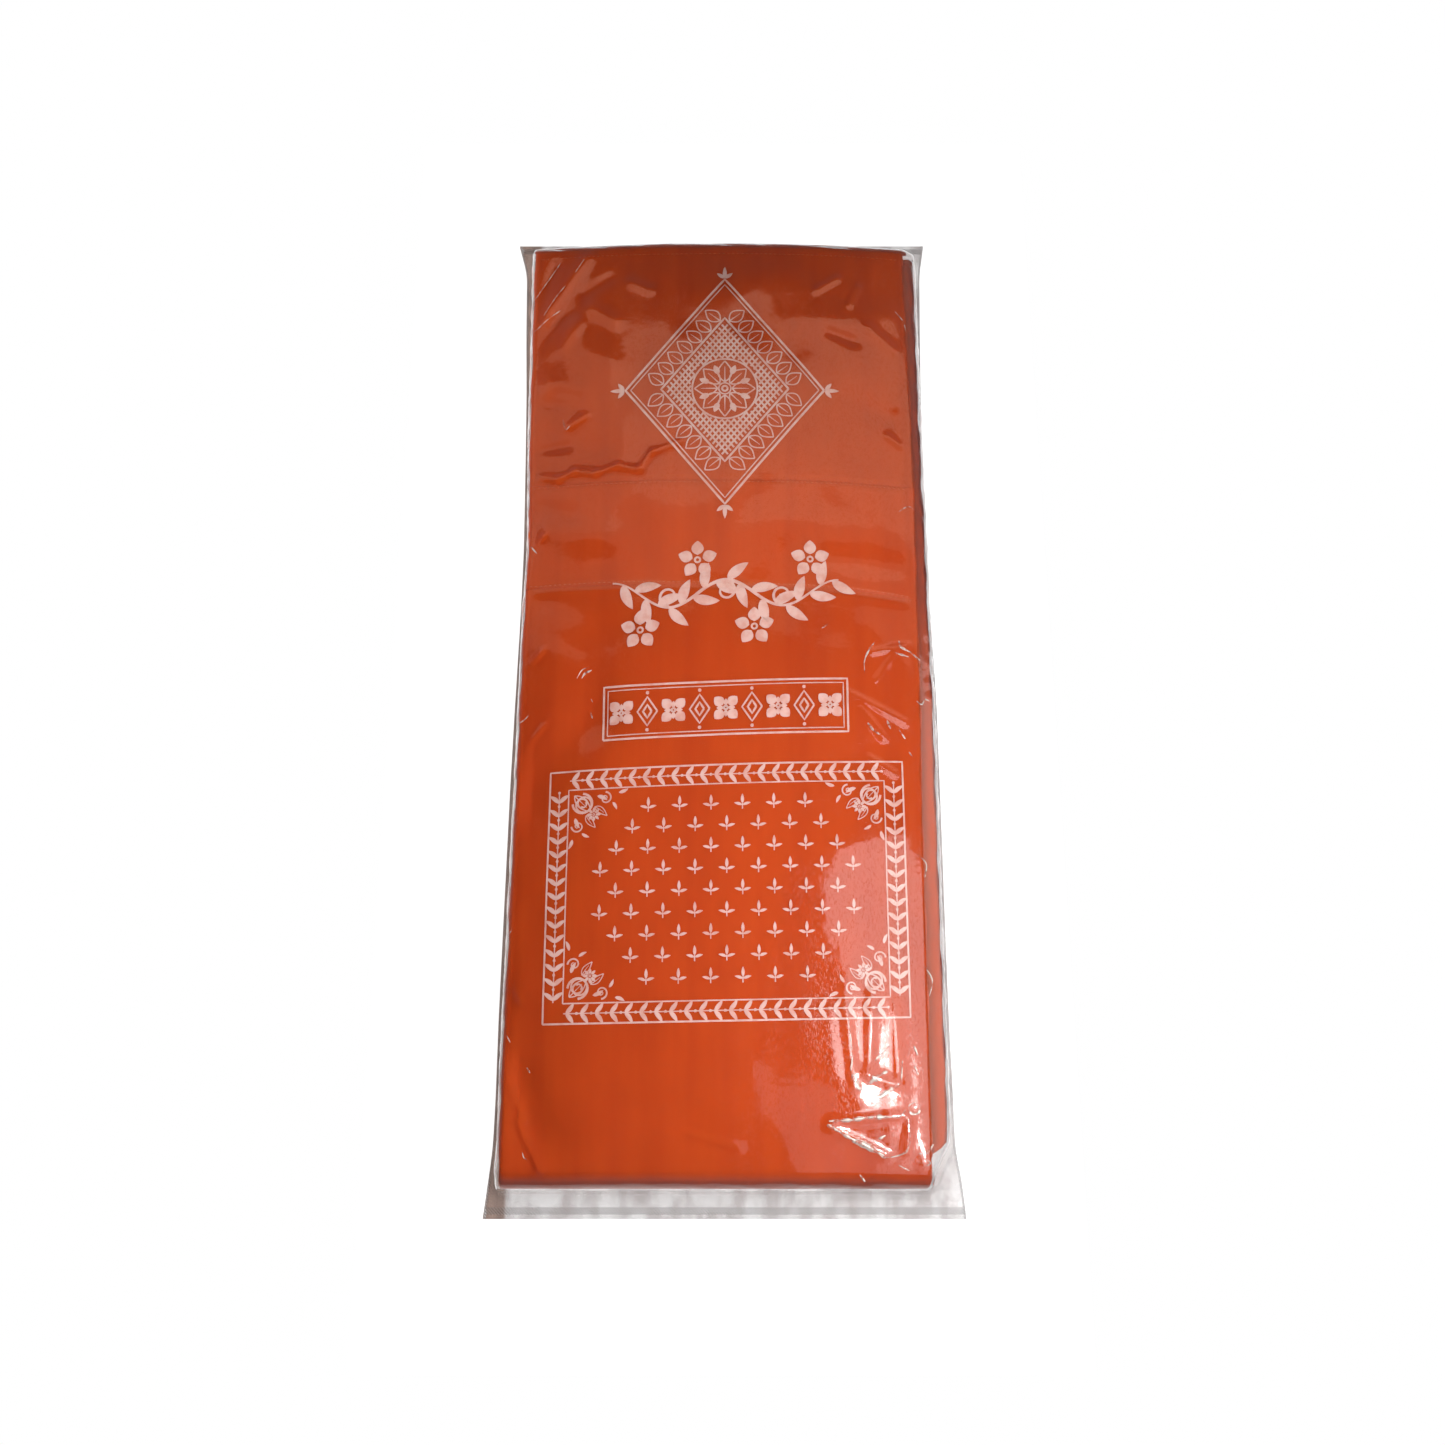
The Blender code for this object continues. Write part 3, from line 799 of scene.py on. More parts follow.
class NodeTree:
    """A short way to write the nodes of a material or of the sky."""

    def __init__(self, owner: bpy.types.ID, output: str = "OutputMaterial") -> None:
        """Clears the owner's nodes and adds its output.

        Args:
            owner: The material or the sky.
            output: The kind of its output node.
        """
        owner.use_nodes = True
        self.owner = owner
        self.tree = owner.node_tree
        self.tree.nodes.clear()
        self.output = self.node(output)

    def node(self, kind: str, links: dict | None = None, **settings: object) -> bpy.types.Node:
        """Adds a node.

        Args:
            kind: Its type, without the ShaderNode prefix.
            links: For each input, a socket or a value.
            settings: Properties of the node.

        Returns:
            The node.
        """
        made = self.tree.nodes.new("ShaderNode" + kind)
        for key, value in settings.items():
            setattr(made, key, value)
        for key, value in (links or {}).items():
            if isinstance(value, bpy.types.NodeSocket):
                self.tree.links.new(value, made.inputs[key])
            else:
                made.inputs[key].default_value = value
        return made

    def finish(self, shader: bpy.types.Node) -> bpy.types.ID:
        """Links the shader to the output and returns the owner."""
        self.tree.links.new(shader.outputs[0], self.output.inputs["Surface"])
        return self.owner

    def surface(self, values: dict) -> bpy.types.Material:
        """Returns the material with one surface shader of those values."""
        return self.finish(self.node("BsdfPrincipled", values))

    def film(self, share: bpy.types.NodeSocket, tint: object, values: dict) -> bpy.types.Material:
        """Makes a film's material, clear apart from a share of its surface.

        Args:
            share: How much of the surface shows, from 0 to 1.
            tint: The colour of what shows through the clear part.
            values: The values of the surface shader.

        Returns:
            The material.
        """
        surface = self.node("BsdfPrincipled", values).outputs[0]
        clear = self.node("BsdfTransparent", {"Color": tint}).outputs[0]
        return self.finish(self.node("MixShader", {0: share, 1: clear, 2: surface}))

    def place(self) -> bpy.types.NodeSocket:
        """Returns the place on the object, in metres."""
        return self.node("TexCoord").outputs["Object"]

    def noise(self, size: float, detail: float, stretch: Place | None = None) -> bpy.types.NodeSocket:
        """Makes noise.

        Args:
            size: How large its lumps are, in metres.
            detail: How much finer noise is on it.
            stretch: A scale along each axis, below 1 where the lumps are longer.

        Returns:
            The noise, mostly from 0.3 to 0.7.
        """
        place = self.place()
        if stretch:
            place = self.node("Mapping", {"Vector": place, "Scale": stretch}).outputs[0]
        return self.node("TexNoise", {"Vector": place, "Scale": 1 / size, "Detail": detail}).outputs["Fac"]

    def bands(self, pitch: float, direction: str, **links: float) -> bpy.types.NodeSocket:
        """Makes even bands.

        Args:
            pitch: The distance between them, in metres.
            direction: X, Y or DIAGONAL.
            links: More values for the bands.

        Returns:
            Their height, from 0 to 1.
        """
        links = {"Vector": self.place(), "Scale": 2 * math.pi / (20 * pitch), **links}
        made = self.node("TexWave", links, wave_type="BANDS", bands_direction=direction)
        return made.outputs["Fac"]

    def bump(self, height: bpy.types.NodeSocket, depth: float, strength: float) -> bpy.types.NodeSocket:
        """Returns the normal of a surface that a height makes uneven."""
        made = self.node("Bump", {"Height": height, "Distance": depth, "Strength": strength})
        return made.outputs[0]

    def ramp(self, value: bpy.types.NodeSocket, low: float, high: float,
             to_low: float = 0.0, to_high: float = 1.0) -> bpy.types.NodeSocket:
        """Maps a value smoothly from one range to another.

        Args:
            value: The value.
            low: Where it starts to change.
            high: Where it stops.
            to_low: What it becomes at low.
            to_high: What it becomes at high.

        Returns:
            The mapped value.
        """
        links = {"Value": value, "From Min": low, "From Max": high, "To Min": to_low, "To Max": to_high}
        return self.node("MapRange", links, interpolation_type="SMOOTHSTEP").outputs[0]

    def math(self, kind: str, first: object, second: object) -> bpy.types.NodeSocket:
        """Returns a sum, product or the like of two values."""
        return self.node("Math", {0: first, 1: second}, operation=kind).outputs[0]

    def mix(self, share: bpy.types.NodeSocket, first: object, second: object) -> bpy.types.NodeSocket:
        """Returns a mix of two colours."""
        return self.node("Mix", {0: share, 6: first, 7: second}, data_type="RGBA").outputs[2]


def rgba(colour: Colour) -> tuple[float, float, float, float]:
    """Returns a colour with an alpha of 1."""
    return (*colour, 1.0)


@dataclass(frozen=True)
class ClothFinish:
    """Plain-woven saffron cloth, with slubs, faint pleats, an uneven colour and painted shade between its
    threads.

    Each ramp has where it starts and stops, and what it gives there.
    """

    name: str
    colour: Colour = (0.77, 0.108, 0.008)
    shade: Colour = (0.66, 0.078, 0.006)
    # Painted shade: the colour between the threads stands in for the shade in the weave's gaps.
    shade_between_threads: Colour = (0.3, 0.03, 0.005)
    sheen: Colour = (1.0, 0.35, 0.12)
    thread: float = 0.00045
    blotch_size: float = 0.085
    blotch_ramp: Ramp = (0.32, 0.68, 0.0, 0.5)
    slub_size: float = 0.004
    slub_ramp: Ramp = (0.3, 0.8, 0.0, 0.15)
    slub_height: float = 0.8
    pleat_size: float = 0.016
    pleat_ramp: Ramp = (0.35, 0.6, 0.0, 0.35)
    thread_shade_ramp: Ramp = (0.0, 0.5, 0.86, 1.0)
    roughness: float = 0.72
    weave_depth: float = 0.00005

    def build(self) -> bpy.types.Material:
        """Makes the material.

        Returns:
            The material.
        """
        nodes = NodeTree(bpy.data.materials.new(self.name))
        warp, weft = (nodes.bands(self.thread, axis, Distortion=0.6, Detail=0.0) for axis in "XY")
        weave = nodes.math("MULTIPLY", warp, weft)
        slub = nodes.noise(self.slub_size, 1.0, (1.0, 0.12, 1.0))
        pleats = nodes.noise(self.pleat_size, 1.0, (1.0, 0.05, 1.0))
        blotches = nodes.ramp(nodes.noise(self.blotch_size, 2.0), *self.blotch_ramp)
        tone = nodes.math("ADD", blotches, nodes.ramp(slub, *self.slub_ramp))
        tone = nodes.math("ADD", tone, nodes.ramp(pleats, *self.pleat_ramp))
        colour = nodes.mix(tone, rgba(self.shade), rgba(self.colour))
        # Painted shade between the threads, where the weave is low.
        thread_shade_share = nodes.ramp(weave, *self.thread_shade_ramp)
        height = nodes.math("ADD", weave, nodes.math("MULTIPLY", slub, self.slub_height))
        return nodes.surface(
            {
                "Base Color": nodes.mix(thread_shade_share, rgba(self.shade_between_threads), colour),
                "Roughness": self.roughness,
                "Specular IOR Level": 0.3,
                "Sheen Weight": 0.15,
                "Sheen Roughness": 0.4,
                "Sheen Tint": rgba(self.sheen),
                "Normal": nodes.bump(height, self.weave_depth, 0.6),
            }
        )


@dataclass(frozen=True)
class ThreadFinish:
    """Sewing thread, twisted."""
    # Sewing thread, twisted, with painted shade in the grooves of its twist.

    name: str = "saffron_thread"
    colour: Colour = (0.92, 0.25, 0.06)
    # Painted shade: the darker colour falls in the grooves of the twist.
    shade: Colour = (0.55, 0.08, 0.015)
    twist: float = 0.0006
    twist_depth: float = 0.00005

    def build(self) -> bpy.types.Material:
        """Makes the material.

        Returns:
            The material.
        """
        nodes = NodeTree(bpy.data.materials.new(self.name))
        # The twist's bands bump the thread and darken it as painted shade.
        twist = nodes.bands(self.twist, "DIAGONAL")
        return nodes.surface(
            {
                "Base Color": nodes.mix(twist, rgba(self.shade), rgba(self.colour)),
                "Roughness": 0.55,
                "Normal": nodes.bump(twist, self.twist_depth, 0.5),
            }
        )


@dataclass(frozen=True)
class FilmFinish:
    """Clear glossy film: it mirrors some light, and is cloudy low on its sides, the cloud partly painted
    shade.

    Its left margin is darker with painted shade. Heights and places are in metres.
    """

    name: str
    tint: Colour = (0.975, 0.975, 0.975)
    # The cloud is partly the film's own haze where it lies in layers, and partly painted shade that greys its
    # low sides.
    cloud_and_shade: Colour = (0.62, 0.52, 0.51)
    # Painted shade: the left margin's tint and cloud are darker and browner.
    left_shade_tint: Colour = (0.78, 0.70, 0.66)
    left_shade: Colour = (0.36, 0.24, 0.20)
    shine: Colour = (0.95, 0.95, 0.95)
    least_mirror: float = 0.028
    fresnel_gain: float = 1.3
    cloud_low: float = 0.22
    cloud_heights: Pair = (0.022, 0.003)
    cloud_patch: float = 0.012
    patch_ramp: Ramp = (0.35, 0.7, 0.45, 1.25)
    margin_places: Pair = (-0.1248, -0.1272)
    margin_heights: Pair = (0.014, 0.004)
    gloss: float = 0.05
    haze: float = 0.22
    scuff: float = 0.0006
    scuffed_patch: float = 0.014
    scuffed_ramp: Ramp = (0.4, 0.75, 0.0, 0.07)
    scuff_limits: Pair = (0.54, 0.64)
    ripple: float = 0.0050
    ripple_depth: float = 0.00012

    def scuffs(self, nodes: NodeTree) -> bpy.types.NodeSocket:
        """Makes the film's roughness, which is high where fine scuffs cross it.

        Args:
            nodes: The material's nodes.

        Returns:
            The roughness.
        """
        fine = nodes.noise(self.scuff, 1.0, (1.0, 0.25, 1.0))
        patches = nodes.noise(self.scuffed_patch, 1.0, (1.0, 0.2, 1.0))
        both = nodes.math("ADD", fine, nodes.ramp(patches, *self.scuffed_ramp))
        return nodes.ramp(both, *self.scuff_limits, self.gloss, self.haze)

    def build(self) -> bpy.types.Material:
        """Makes the material.

        Returns:
            The material.
        """
        nodes = NodeTree(bpy.data.materials.new(self.name))
        place = nodes.node("SeparateXYZ", {"Vector": nodes.place()}).outputs
        beside = nodes.ramp(place["X"], *self.margin_places)
        margin = nodes.math("MULTIPLY", beside, nodes.ramp(place["Z"], *self.margin_heights))
        # Painted shade: the low film's cloud, browner on the left margin.
        cloud_and_shade = nodes.mix(margin, rgba(self.cloud_and_shade), rgba(self.left_shade))
        normal = nodes.bump(nodes.noise(self.ripple, 1.0), self.ripple_depth, 0.3)
        fresnel = nodes.node("Fresnel", {"IOR": 1.5, "Normal": normal}).outputs[0]
        mirror = nodes.math("MULTIPLY", fresnel, self.fresnel_gain)
        mirror = nodes.math("ADD", mirror, self.least_mirror)
        # The cloud's share grows low down, partly haze and partly painted shade.
        low = nodes.ramp(place["Z"], *self.cloud_heights, 0.0, self.cloud_low)
        patches = nodes.noise(self.cloud_patch, 2.0, (1.0, 0.5, 1.0))
        cloud_and_shade_share = nodes.math("MULTIPLY", low, nodes.ramp(patches, *self.patch_ramp))
        both = nodes.math("ADD", mirror, cloud_and_shade_share)
        glossy = nodes.math("DIVIDE", mirror, nodes.math("ADD", mirror, cloud_and_shade_share))
        both.node.use_clamp = True
        values = {
            "Base Color": nodes.mix(glossy, cloud_and_shade, rgba(self.shine)),
            "Metallic": glossy,
            "Roughness": self.scuffs(nodes),
            "Normal": normal,
        }
        # The clear part's tint is darker on the left margin, as painted shade.
        return nodes.film(both, nodes.mix(margin, rgba(self.tint), rgba(self.left_shade_tint)), values)


@dataclass(frozen=True)
class CreaseFinish:
    """Film along a sharp fold, pale white in patches: a painted highlight for the fold's glints, with a
    metallic half that mirrors the lamps.
    """

    name: str = "creased_film_painted_glints"
    # Painted highlight: the pale white stands in for glints along the fold.
    colour: Colour = (1.0, 0.93, 0.84)
    tint: Colour = (0.97, 0.97, 0.97)
    least: float = 0.12
    most: float = 0.78
    metal: float = 0.5
    roughness: float = 0.30
    patch: float = 0.0040
    patch_limits: Pair = (0.38, 0.60)
    patch_depth: float = 0.0002

    def build(self) -> bpy.types.Material:
        """Makes the material.

        Returns:
            The material.
        """
        nodes = NodeTree(bpy.data.materials.new(self.name))
        patches = nodes.noise(self.patch, 2.0)
        values = {
            "Base Color": rgba(self.colour),
            "Metallic": self.metal,
            "Roughness": self.roughness,
            "Specular IOR Level": 0.9,
            "Normal": nodes.bump(patches, self.patch_depth, 0.5),
        }
        # The share of painted highlight varies in patches along the fold.
        share = nodes.ramp(patches, *self.patch_limits, self.least, self.most)
        return nodes.film(share, rgba(self.tint), values)


@dataclass(frozen=True)
class WeldFinish:
    """Film pressed together in a heat weld: cloudy, with fine ribs whose grooves are painted darker as shade.
    """

    name: str = "film_weld"
    colour: Colour = (0.68, 0.67, 0.67)
    # Painted shade: the darker colour falls in the grooves between the ribs.
    shade: Colour = (0.50, 0.49, 0.49)
    tint: Colour = (0.95, 0.95, 0.95)
    least: float = 0.35
    most: float = 0.6
    rib: float = 0.0009
    rib_depth: float = 0.00015

    def build(self) -> bpy.types.Material:
        """Makes the material.

        Returns:
            The material.
        """
        nodes = NodeTree(bpy.data.materials.new(self.name))
        ribs = nodes.bands(self.rib, "DIAGONAL")
        values = {
            "Base Color": nodes.mix(ribs, rgba(self.shade), rgba(self.colour)),
            "Roughness": 0.25,
            "Normal": nodes.bump(ribs, self.rib_depth, 0.7),
        }
        return nodes.film(nodes.ramp(ribs, 0.0, 1.0, self.least, self.most), rgba(self.tint), values)


@dataclass(frozen=True)
class InkFinish:
    """Pale pink-white screen ink on film, a little thin in places."""

    name: str = "pale_ink"
    colour: Colour = (0.93, 0.66, 0.60)
    thin: Colour = (0.86, 0.50, 0.42)
    patch: float = 0.006
    patch_limits: Pair = (0.3, 0.62)
    grain: float = 0.0006
    grain_depth: float = 0.00004

    def build(self) -> bpy.types.Material:
        """Makes the material.

        Returns:
            The material.
        """
        nodes = NodeTree(bpy.data.materials.new(self.name))
        density = nodes.ramp(nodes.noise(self.patch, 2.0), *self.patch_limits)
        return nodes.surface(
            {
                "Base Color": nodes.mix(density, rgba(self.thin), rgba(self.colour)),
                "Roughness": 0.5,
                "Normal": nodes.bump(nodes.noise(self.grain, 1.0), self.grain_depth, 0.5),
            }
        )


# Rows where the far end rolls down and turns back, in metres
TUCK: Rows = (
    # out, down
    (0.00025, 0.00012),
    (0.00040, 0.00040),
    (-0.00120, 0.00075),
    (-0.00400, 0.00080),
)

# Rows where the band's hem comes down onto a panel
HEM: Rows = (
    # out in metres, down as a share of the step
    (-0.00090, 0.0),
    (-0.00035, 0.1),
    (0.00000, 0.4),
    (-0.00010, 0.7),
)


def shoulder_places(depth: float, steps: int, round_share: float = 0.75, foot: float = 0.0006) -> Points:
    """Places across a turned-down edge.

    Args:
        depth: How far down the edge reaches.
        steps: Points on its arc.
        round_share: The arc's radius as a share of the depth.
        foot: How far a last straight stretch reaches below.

    Returns:
        For each point, how far in and how far down, from the foot to the top.
    """
    radius = depth * round_share
    angles = np.linspace(0, math.pi / 2, steps)
    arc = np.stack([radius * (1 - np.cos(angles)), radius * (1 - np.sin(angles))], axis=-1)
    return np.concatenate([[(0.0, depth + foot), (0.0, depth)], arc])


@dataclass
class TopCloth:
    """The top layer: two panels and the band sewn across between them."""

    finish: ClothFinish = ClothFinish("saffron_cloth")
    band_finish: ClothFinish = ClothFinish("saffron_band", colour=(0.80, 0.112, 0.010))
    columns: int = 256
    row_pitch: float = 0.0016
    shoulder_steps: int = 8
    lap: float = 0.004
    hem_width: float = 0.0020
    wrap_from: float = 172.0
    wrap_to: float = 4.0
    wrap_steps: int = 30
    stack: FoldedStack = STACK

    def row(self, y: Points, drop: float, normal: Pair, z: float, proud: float) -> Points:
        """Makes one row of cloth across the stack.

        Args:
            y: The place along the stack for each point of the row.
            drop: How far the whole row lies below its place.
            normal: Which way is out, as y and z.
            z: The height of the row's middle.
            proud: How far the row stands out from the panels.

        Returns:
            Places of the row's points.
        """
        stack = self.stack
        turned = shoulder_places(stack.shoulder + proud, self.shoulder_steps)
        left = stack.left(TOP_LAYER, y[0]) - proud
        right = stack.right(TOP_LAYER, y[-1]) + proud
        middle = np.linspace(left + turned[-1, 0], right - turned[-1, 0], self.columns + 3)[1:-1]
        x = np.concatenate([left + turned[:, 0], middle, (right - turned[:, 0])[::-1]])
        down = np.concatenate([turned[:, 1], np.zeros(len(middle)), turned[::-1, 1]]) + drop
        return np.stack([x, y - normal[0] * down, z - normal[1] * down], axis=-1)

    def width(self) -> int:
        """Returns how many points a row has."""
        return self.columns + 1 + 2 * (self.shoulder_steps + 2)

    def across(self) -> Points:
        """Returns places across the stack for reading the seams."""
        return np.linspace(-0.125, 0.123, self.width())

    def flat_rows(self, start: Points, end: Points, proud: float) -> list[Points]:
        """Makes the rows of a panel between two lines across the stack.

        Args:
            start: The first line's place along the stack for each point of a row.
            end: The last line's.
            proud: How far the panel stands out from the others.

        Returns:
            The rows, towards the far end.
        """
        count = max(int(round(float(np.mean(end - start)) / self.row_pitch)), 4)
        shares = np.linspace(0, 1, count + 1)
        return [self.level_row(start + (end - start) * share, 0.0, proud) for share in shares]

    def level_row(self, line: Points, down: float, proud: float) -> Points:
        """Makes one row of a level panel, lower than the panel by down."""
        return self.row(line, down, (0.0, 1.0), self.stack.top + proud, proud)

    def hem(self, line: Points, side: int) -> list[Points]:
        """Makes the rows of the band's hem, which comes down onto a panel.

        Args:
            line: The hem's place along the stack for each point of a row.
            side: 1 where the hem faces +Y, and -1 where it faces -Y.

        Returns:
            The rows, from the top down.
        """
        proud = self.stack.band_proud
        return [self.level_row(line + side * out, down * proud, proud) for out, down in HEM]

    def wrap_rows(self) -> list[Points]:
        """Makes the rows of the near panel round the near end, from below.

        Returns:
            The points of each row.
        """
        stack = self.stack
        middle = (stack.bottom + stack.top) / 2
        half = (stack.top - stack.bottom) / 2
        rows = []
        for turn in np.radians(np.linspace(self.wrap_from, self.wrap_to, self.wrap_steps)):
            y = stack.near + stack.wrap_reach * (1 - math.sin(turn))
            z = middle + half * math.cos(turn)
            normal = np.array((-math.sin(turn) / stack.wrap_reach, math.cos(turn) / half))
            normal /= np.linalg.norm(normal)
            line = np.full(self.width(), y)
            rows.append(self.row(line, 0.0, (normal[0], normal[1]), z, 0.0))
        return rows

    def add(self, name: str, rows: list[Points], finish: bpy.types.Material) -> bpy.types.Object:
        """Returns one panel, added to the scene from its rows."""
        return add_piece(name, mesh_from_grid(name, self.stack.cloth(np.array(rows))), finish)

    def build(self) -> None:
        stack = self.stack
        x = self.across()
        near_seam = stack.seam(Seam.NEAR, x)
        far_seam = stack.seam(Seam.FAR, x)
        cloth = self.finish.build()
        band = self.band_finish.build()

        start = np.full(self.width(), stack.near + stack.wrap_reach)
        rows = self.wrap_rows() + self.flat_rows(start, near_seam + self.lap, 0.0)
        near = self.add("near_panel_cloth", rows, cloth)
        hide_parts("top_panel_near")

        rows = self.hem(near_seam, -1)[::-1]
        rows += self.flat_rows(near_seam + self.hem_width, far_seam - self.hem_width, stack.band_proud)
        rows += self.hem(far_seam, 1)
        strip = self.add("cross_band_cloth", rows, band)
        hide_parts("cross_band")

        end = np.full(self.width(), stack.upper_far - LAYERS[TOP_LAYER][3])
        rows = self.flat_rows(far_seam - self.lap, end, 0.0)
        rows += [self.level_row(end + out, down, 0.0) for out, down in TUCK]
        far = self.add("far_panel_cloth", rows, cloth)
        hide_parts("top_panel_far")


@dataclass
class FoldEdges:
    """The hidden layers, with each fold edge that shows on the sides and the far end."""

    # Painted light: the fold edges are the same cloth, painted lighter to make up for the shade on the
    # stack's sides.
    finish: ClothFinish = ClothFinish(
        "saffron_fold_edges", colour=(0.80, 0.108, 0.008), shade=(0.66, 0.074, 0.006)
    )
    folds_per_layer: int = 4
    groove: float = 0.0016
    fold_groove: float = 0.00045
    side_pitch: float = 0.0034
    corner_steps: int = 6
    side_ends: Pair = (-0.2815, 0.2870)
    near_radius: float = 0.007
    far_radius: float = 0.004
    near_points: int = 40
    far_points: int = 76
    swing: float = 0.00022
    swing_waves: Pair = (0.031, 0.0118)
    stack: FoldedStack = STACK

    def wander(self, y: Points, fold: int, side: int) -> Points:
        """Makes one fold edge uneven.

        Args:
            y: Places along it.
            fold: The fold edge, counted from the floor.
            side: 0 on the left, 1 on the right and 3 at the far end.

        Returns:
            How far it stands in.
        """
        long, short = self.swing_waves
        phase = 1.7 * fold + 2.9 * side
        waves = np.sin(y / long + phase) + np.sin(y / short + 2.1 * phase)
        return self.swing * (waves + 1.2 * math.sin(3.3 * phase))

    def corner(self, x: float, y: float, radius: float, to_x: int, to_y: int) -> Points:
        """Makes an arc round a corner.

        Args:
            x: Where the long side lies.
            y: Where the end lies.
            radius: The arc's radius.
            to_x: 1 at the right, and -1 at the left.
            to_y: 1 at the far end, and -1 at the near one.

        Returns:
            The arc's points, from the long side to the end.
        """
        angles = np.linspace(0, math.pi / 2, self.corner_steps)
        return np.stack(
            [x - to_x * radius * (1 - np.cos(angles)), y - to_y * radius * (1 - np.sin(angles))],
            axis=-1,
        )

    def ring(self, layer: int, fold: int, z: float, inset: float) -> Points:
        """Makes the outline of the stack at one height.

        Args:
            layer: The layer that the height lies in.
            fold: The fold edge that the height lies in, counted from the floor.
            z: The height.
            inset: How far the outline stands back from the layer's edge.

        Returns:
            The outline's points, anticlockwise from the near end.
        """
        stack = self.stack
        y_near = float(stack.wrap_y(z, stack.core_inset))
        if layer < LOWER_LAYERS:
            y_far = stack.inner_fold_y(z) - 0.3 * inset
        else:
            y_far = stack.upper_far - LAYERS[layer][3] - inset
        side_near, side_far = self.side_ends
        sides = np.linspace(side_near, side_far, int((side_far - side_near) / self.side_pitch))
        left_x = stack.left(layer, sides) + inset + self.wander(sides, fold, 0)
        right_x = stack.right(layer, sides) - inset - self.wander(sides, fold, 1)
        near_left_x = stack.left(TOP_LAYER, y_near) + stack.core_inset
        near_right_x = stack.right(TOP_LAYER, y_near) - stack.core_inset
        near_left = self.corner(float(near_left_x), y_near, self.near_radius, -1, -1)
        near_right = self.corner(float(near_right_x), y_near, self.near_radius, 1, -1)
        far_left = self.corner(float(left_x[-1]), y_far, self.far_radius, -1, 1)
        far_right = self.corner(float(right_x[-1]), y_far, self.far_radius, 1, 1)
        near = np.linspace(near_left[-1], near_right[-1], self.near_points)[1:-1]
        far = np.linspace(far_right[-1], far_left[-1], self.far_points)[1:-1]
        if layer >= LOWER_LAYERS:
            far = far + np.stack([0 * far[:, 0], self.wander(far[:, 0], fold, 3)], axis=-1)
        outline = np.concatenate(
            [
                near_left, near, near_right[::-1],
                np.stack([right_x, sides], axis=-1),
                far_right, far, far_left[::-1],
                np.stack([left_x, sides], axis=-1)[::-1],
            ]
        )
        return np.concatenate([outline, np.full((len(outline), 1), z)], axis=1)

    def rings(self) -> list[Points]:
        """Makes the outlines from the floor up.

        Returns:
            The points of each outline.
        """
        stack = self.stack
        rings = [self.ring(0, 0, stack.bottom, self.groove)]
        fold_height = stack.layer_height / self.folds_per_layer
        for fold in range(TOP_LAYER * self.folds_per_layer):
            layer, part = divmod(fold, self.folds_per_layer)
            base = stack.bottom + fold * fold_height
            low = self.groove if part == 0 else self.fold_groove
            high = self.groove if part == self.folds_per_layer - 1 else self.fold_groove
            for up, inset in ((0.10, low * 0.8), (0.32, low * 0.12), (0.68, high * 0.12), (0.94, high * 0.9)):
                rings.append(self.ring(layer, fold, base + up * fold_height, inset))
        last_fold = TOP_LAYER * self.folds_per_layer
        rings.append(self.ring(TOP_LAYER, last_fold, stack.top - stack.shoulder, stack.core_inset))
        rings.append(self.ring(TOP_LAYER, last_fold, stack.top - stack.core_inset, stack.shoulder))
        return rings

    def build(self) -> None:
        rings = self.rings()
        top = rings[-1]
        middle = np.array([0.0, 0.0, top[0, 2]])
        for share in (0.85, 0.6, 0.3):
            rings.append(middle + (top - middle) * np.array([share, share, 1.0]))
        points = self.stack.lifted(np.array(rings))
        mesh = mesh_from_grid("fold_edges_cloth", points, loops=True)
        piece = add_piece("fold_edges_cloth", mesh, self.finish.build())
        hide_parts("folded_layers")


@dataclass
class Stitching:
    """Lines of stitches along both seams of the band and the far hem."""

    finish: ThreadFinish = ThreadFinish()
    length: float = 0.0023
    pitch: float = 0.0031
    radius: float = 0.00023
    sides: int = 6
    first: float = -0.120
    last: float = 0.1185
    from_seam: float = 0.0016
    from_end: float = 0.0060
    lift: float = 0.00008
    dip: float = 0.0004
    end_share: float = 0.5
    stack: FoldedStack = STACK

    def stitch(self, x: float, y_at: Line, rise: float) -> tuple[Points, Faces]:
        """Makes one stitch, a bead that dips into the cloth at both ends.

        Args:
            x: The place of its middle across the stack.
            y_at: A function that gives the line's place along the stack at x.
            rise: How far the cloth there stands out from the panels.

        Returns:
            Its points and its faces.
        """
        shares = np.linspace(-0.5, 0.5, 5)
        xs = x + shares * self.length
        ys = np.array([float(y_at(place)) for place in xs])
        zs = np.full(len(xs), self.stack.top + rise) - self.dip * (2 * shares) ** 4
        line = self.stack.cloth(np.stack([xs, ys, zs], axis=-1))
        angles = np.linspace(0, 2 * math.pi, self.sides, endpoint=False)
        radii = self.radius * np.array([self.end_share, 0.95, 1.0, 0.95, self.end_share])
        ring = np.stack([0 * angles, np.cos(angles), np.sin(angles)], axis=-1)
        points = (line[:, None, :] + radii[:, None, None] * ring[None]).reshape(-1, 3)
        return points, grid_faces(len(xs), self.sides, loops=True)

    def build(self) -> None:
        """Makes the three lines."""
        stack = self.stack
        thread = self.finish.build()
        lines = (
            ("near_seam_stitches", lambda x: stack.seam(Seam.NEAR, x) + self.from_seam, stack.band_proud),
            ("far_seam_stitches", lambda x: stack.seam(Seam.FAR, x) - self.from_seam, stack.band_proud),
            ("far_hem_stitches", lambda x: stack.upper_far - self.from_end, 0.0),
        )
        for name, y_at, rise in lines:
            places = np.arange(self.first, self.last, self.pitch)
            stitches = [self.stitch(x, y_at, rise + self.lift) for x in places]
            add_piece(name, mesh_from_faces(name, *joined(stitches)), thread)


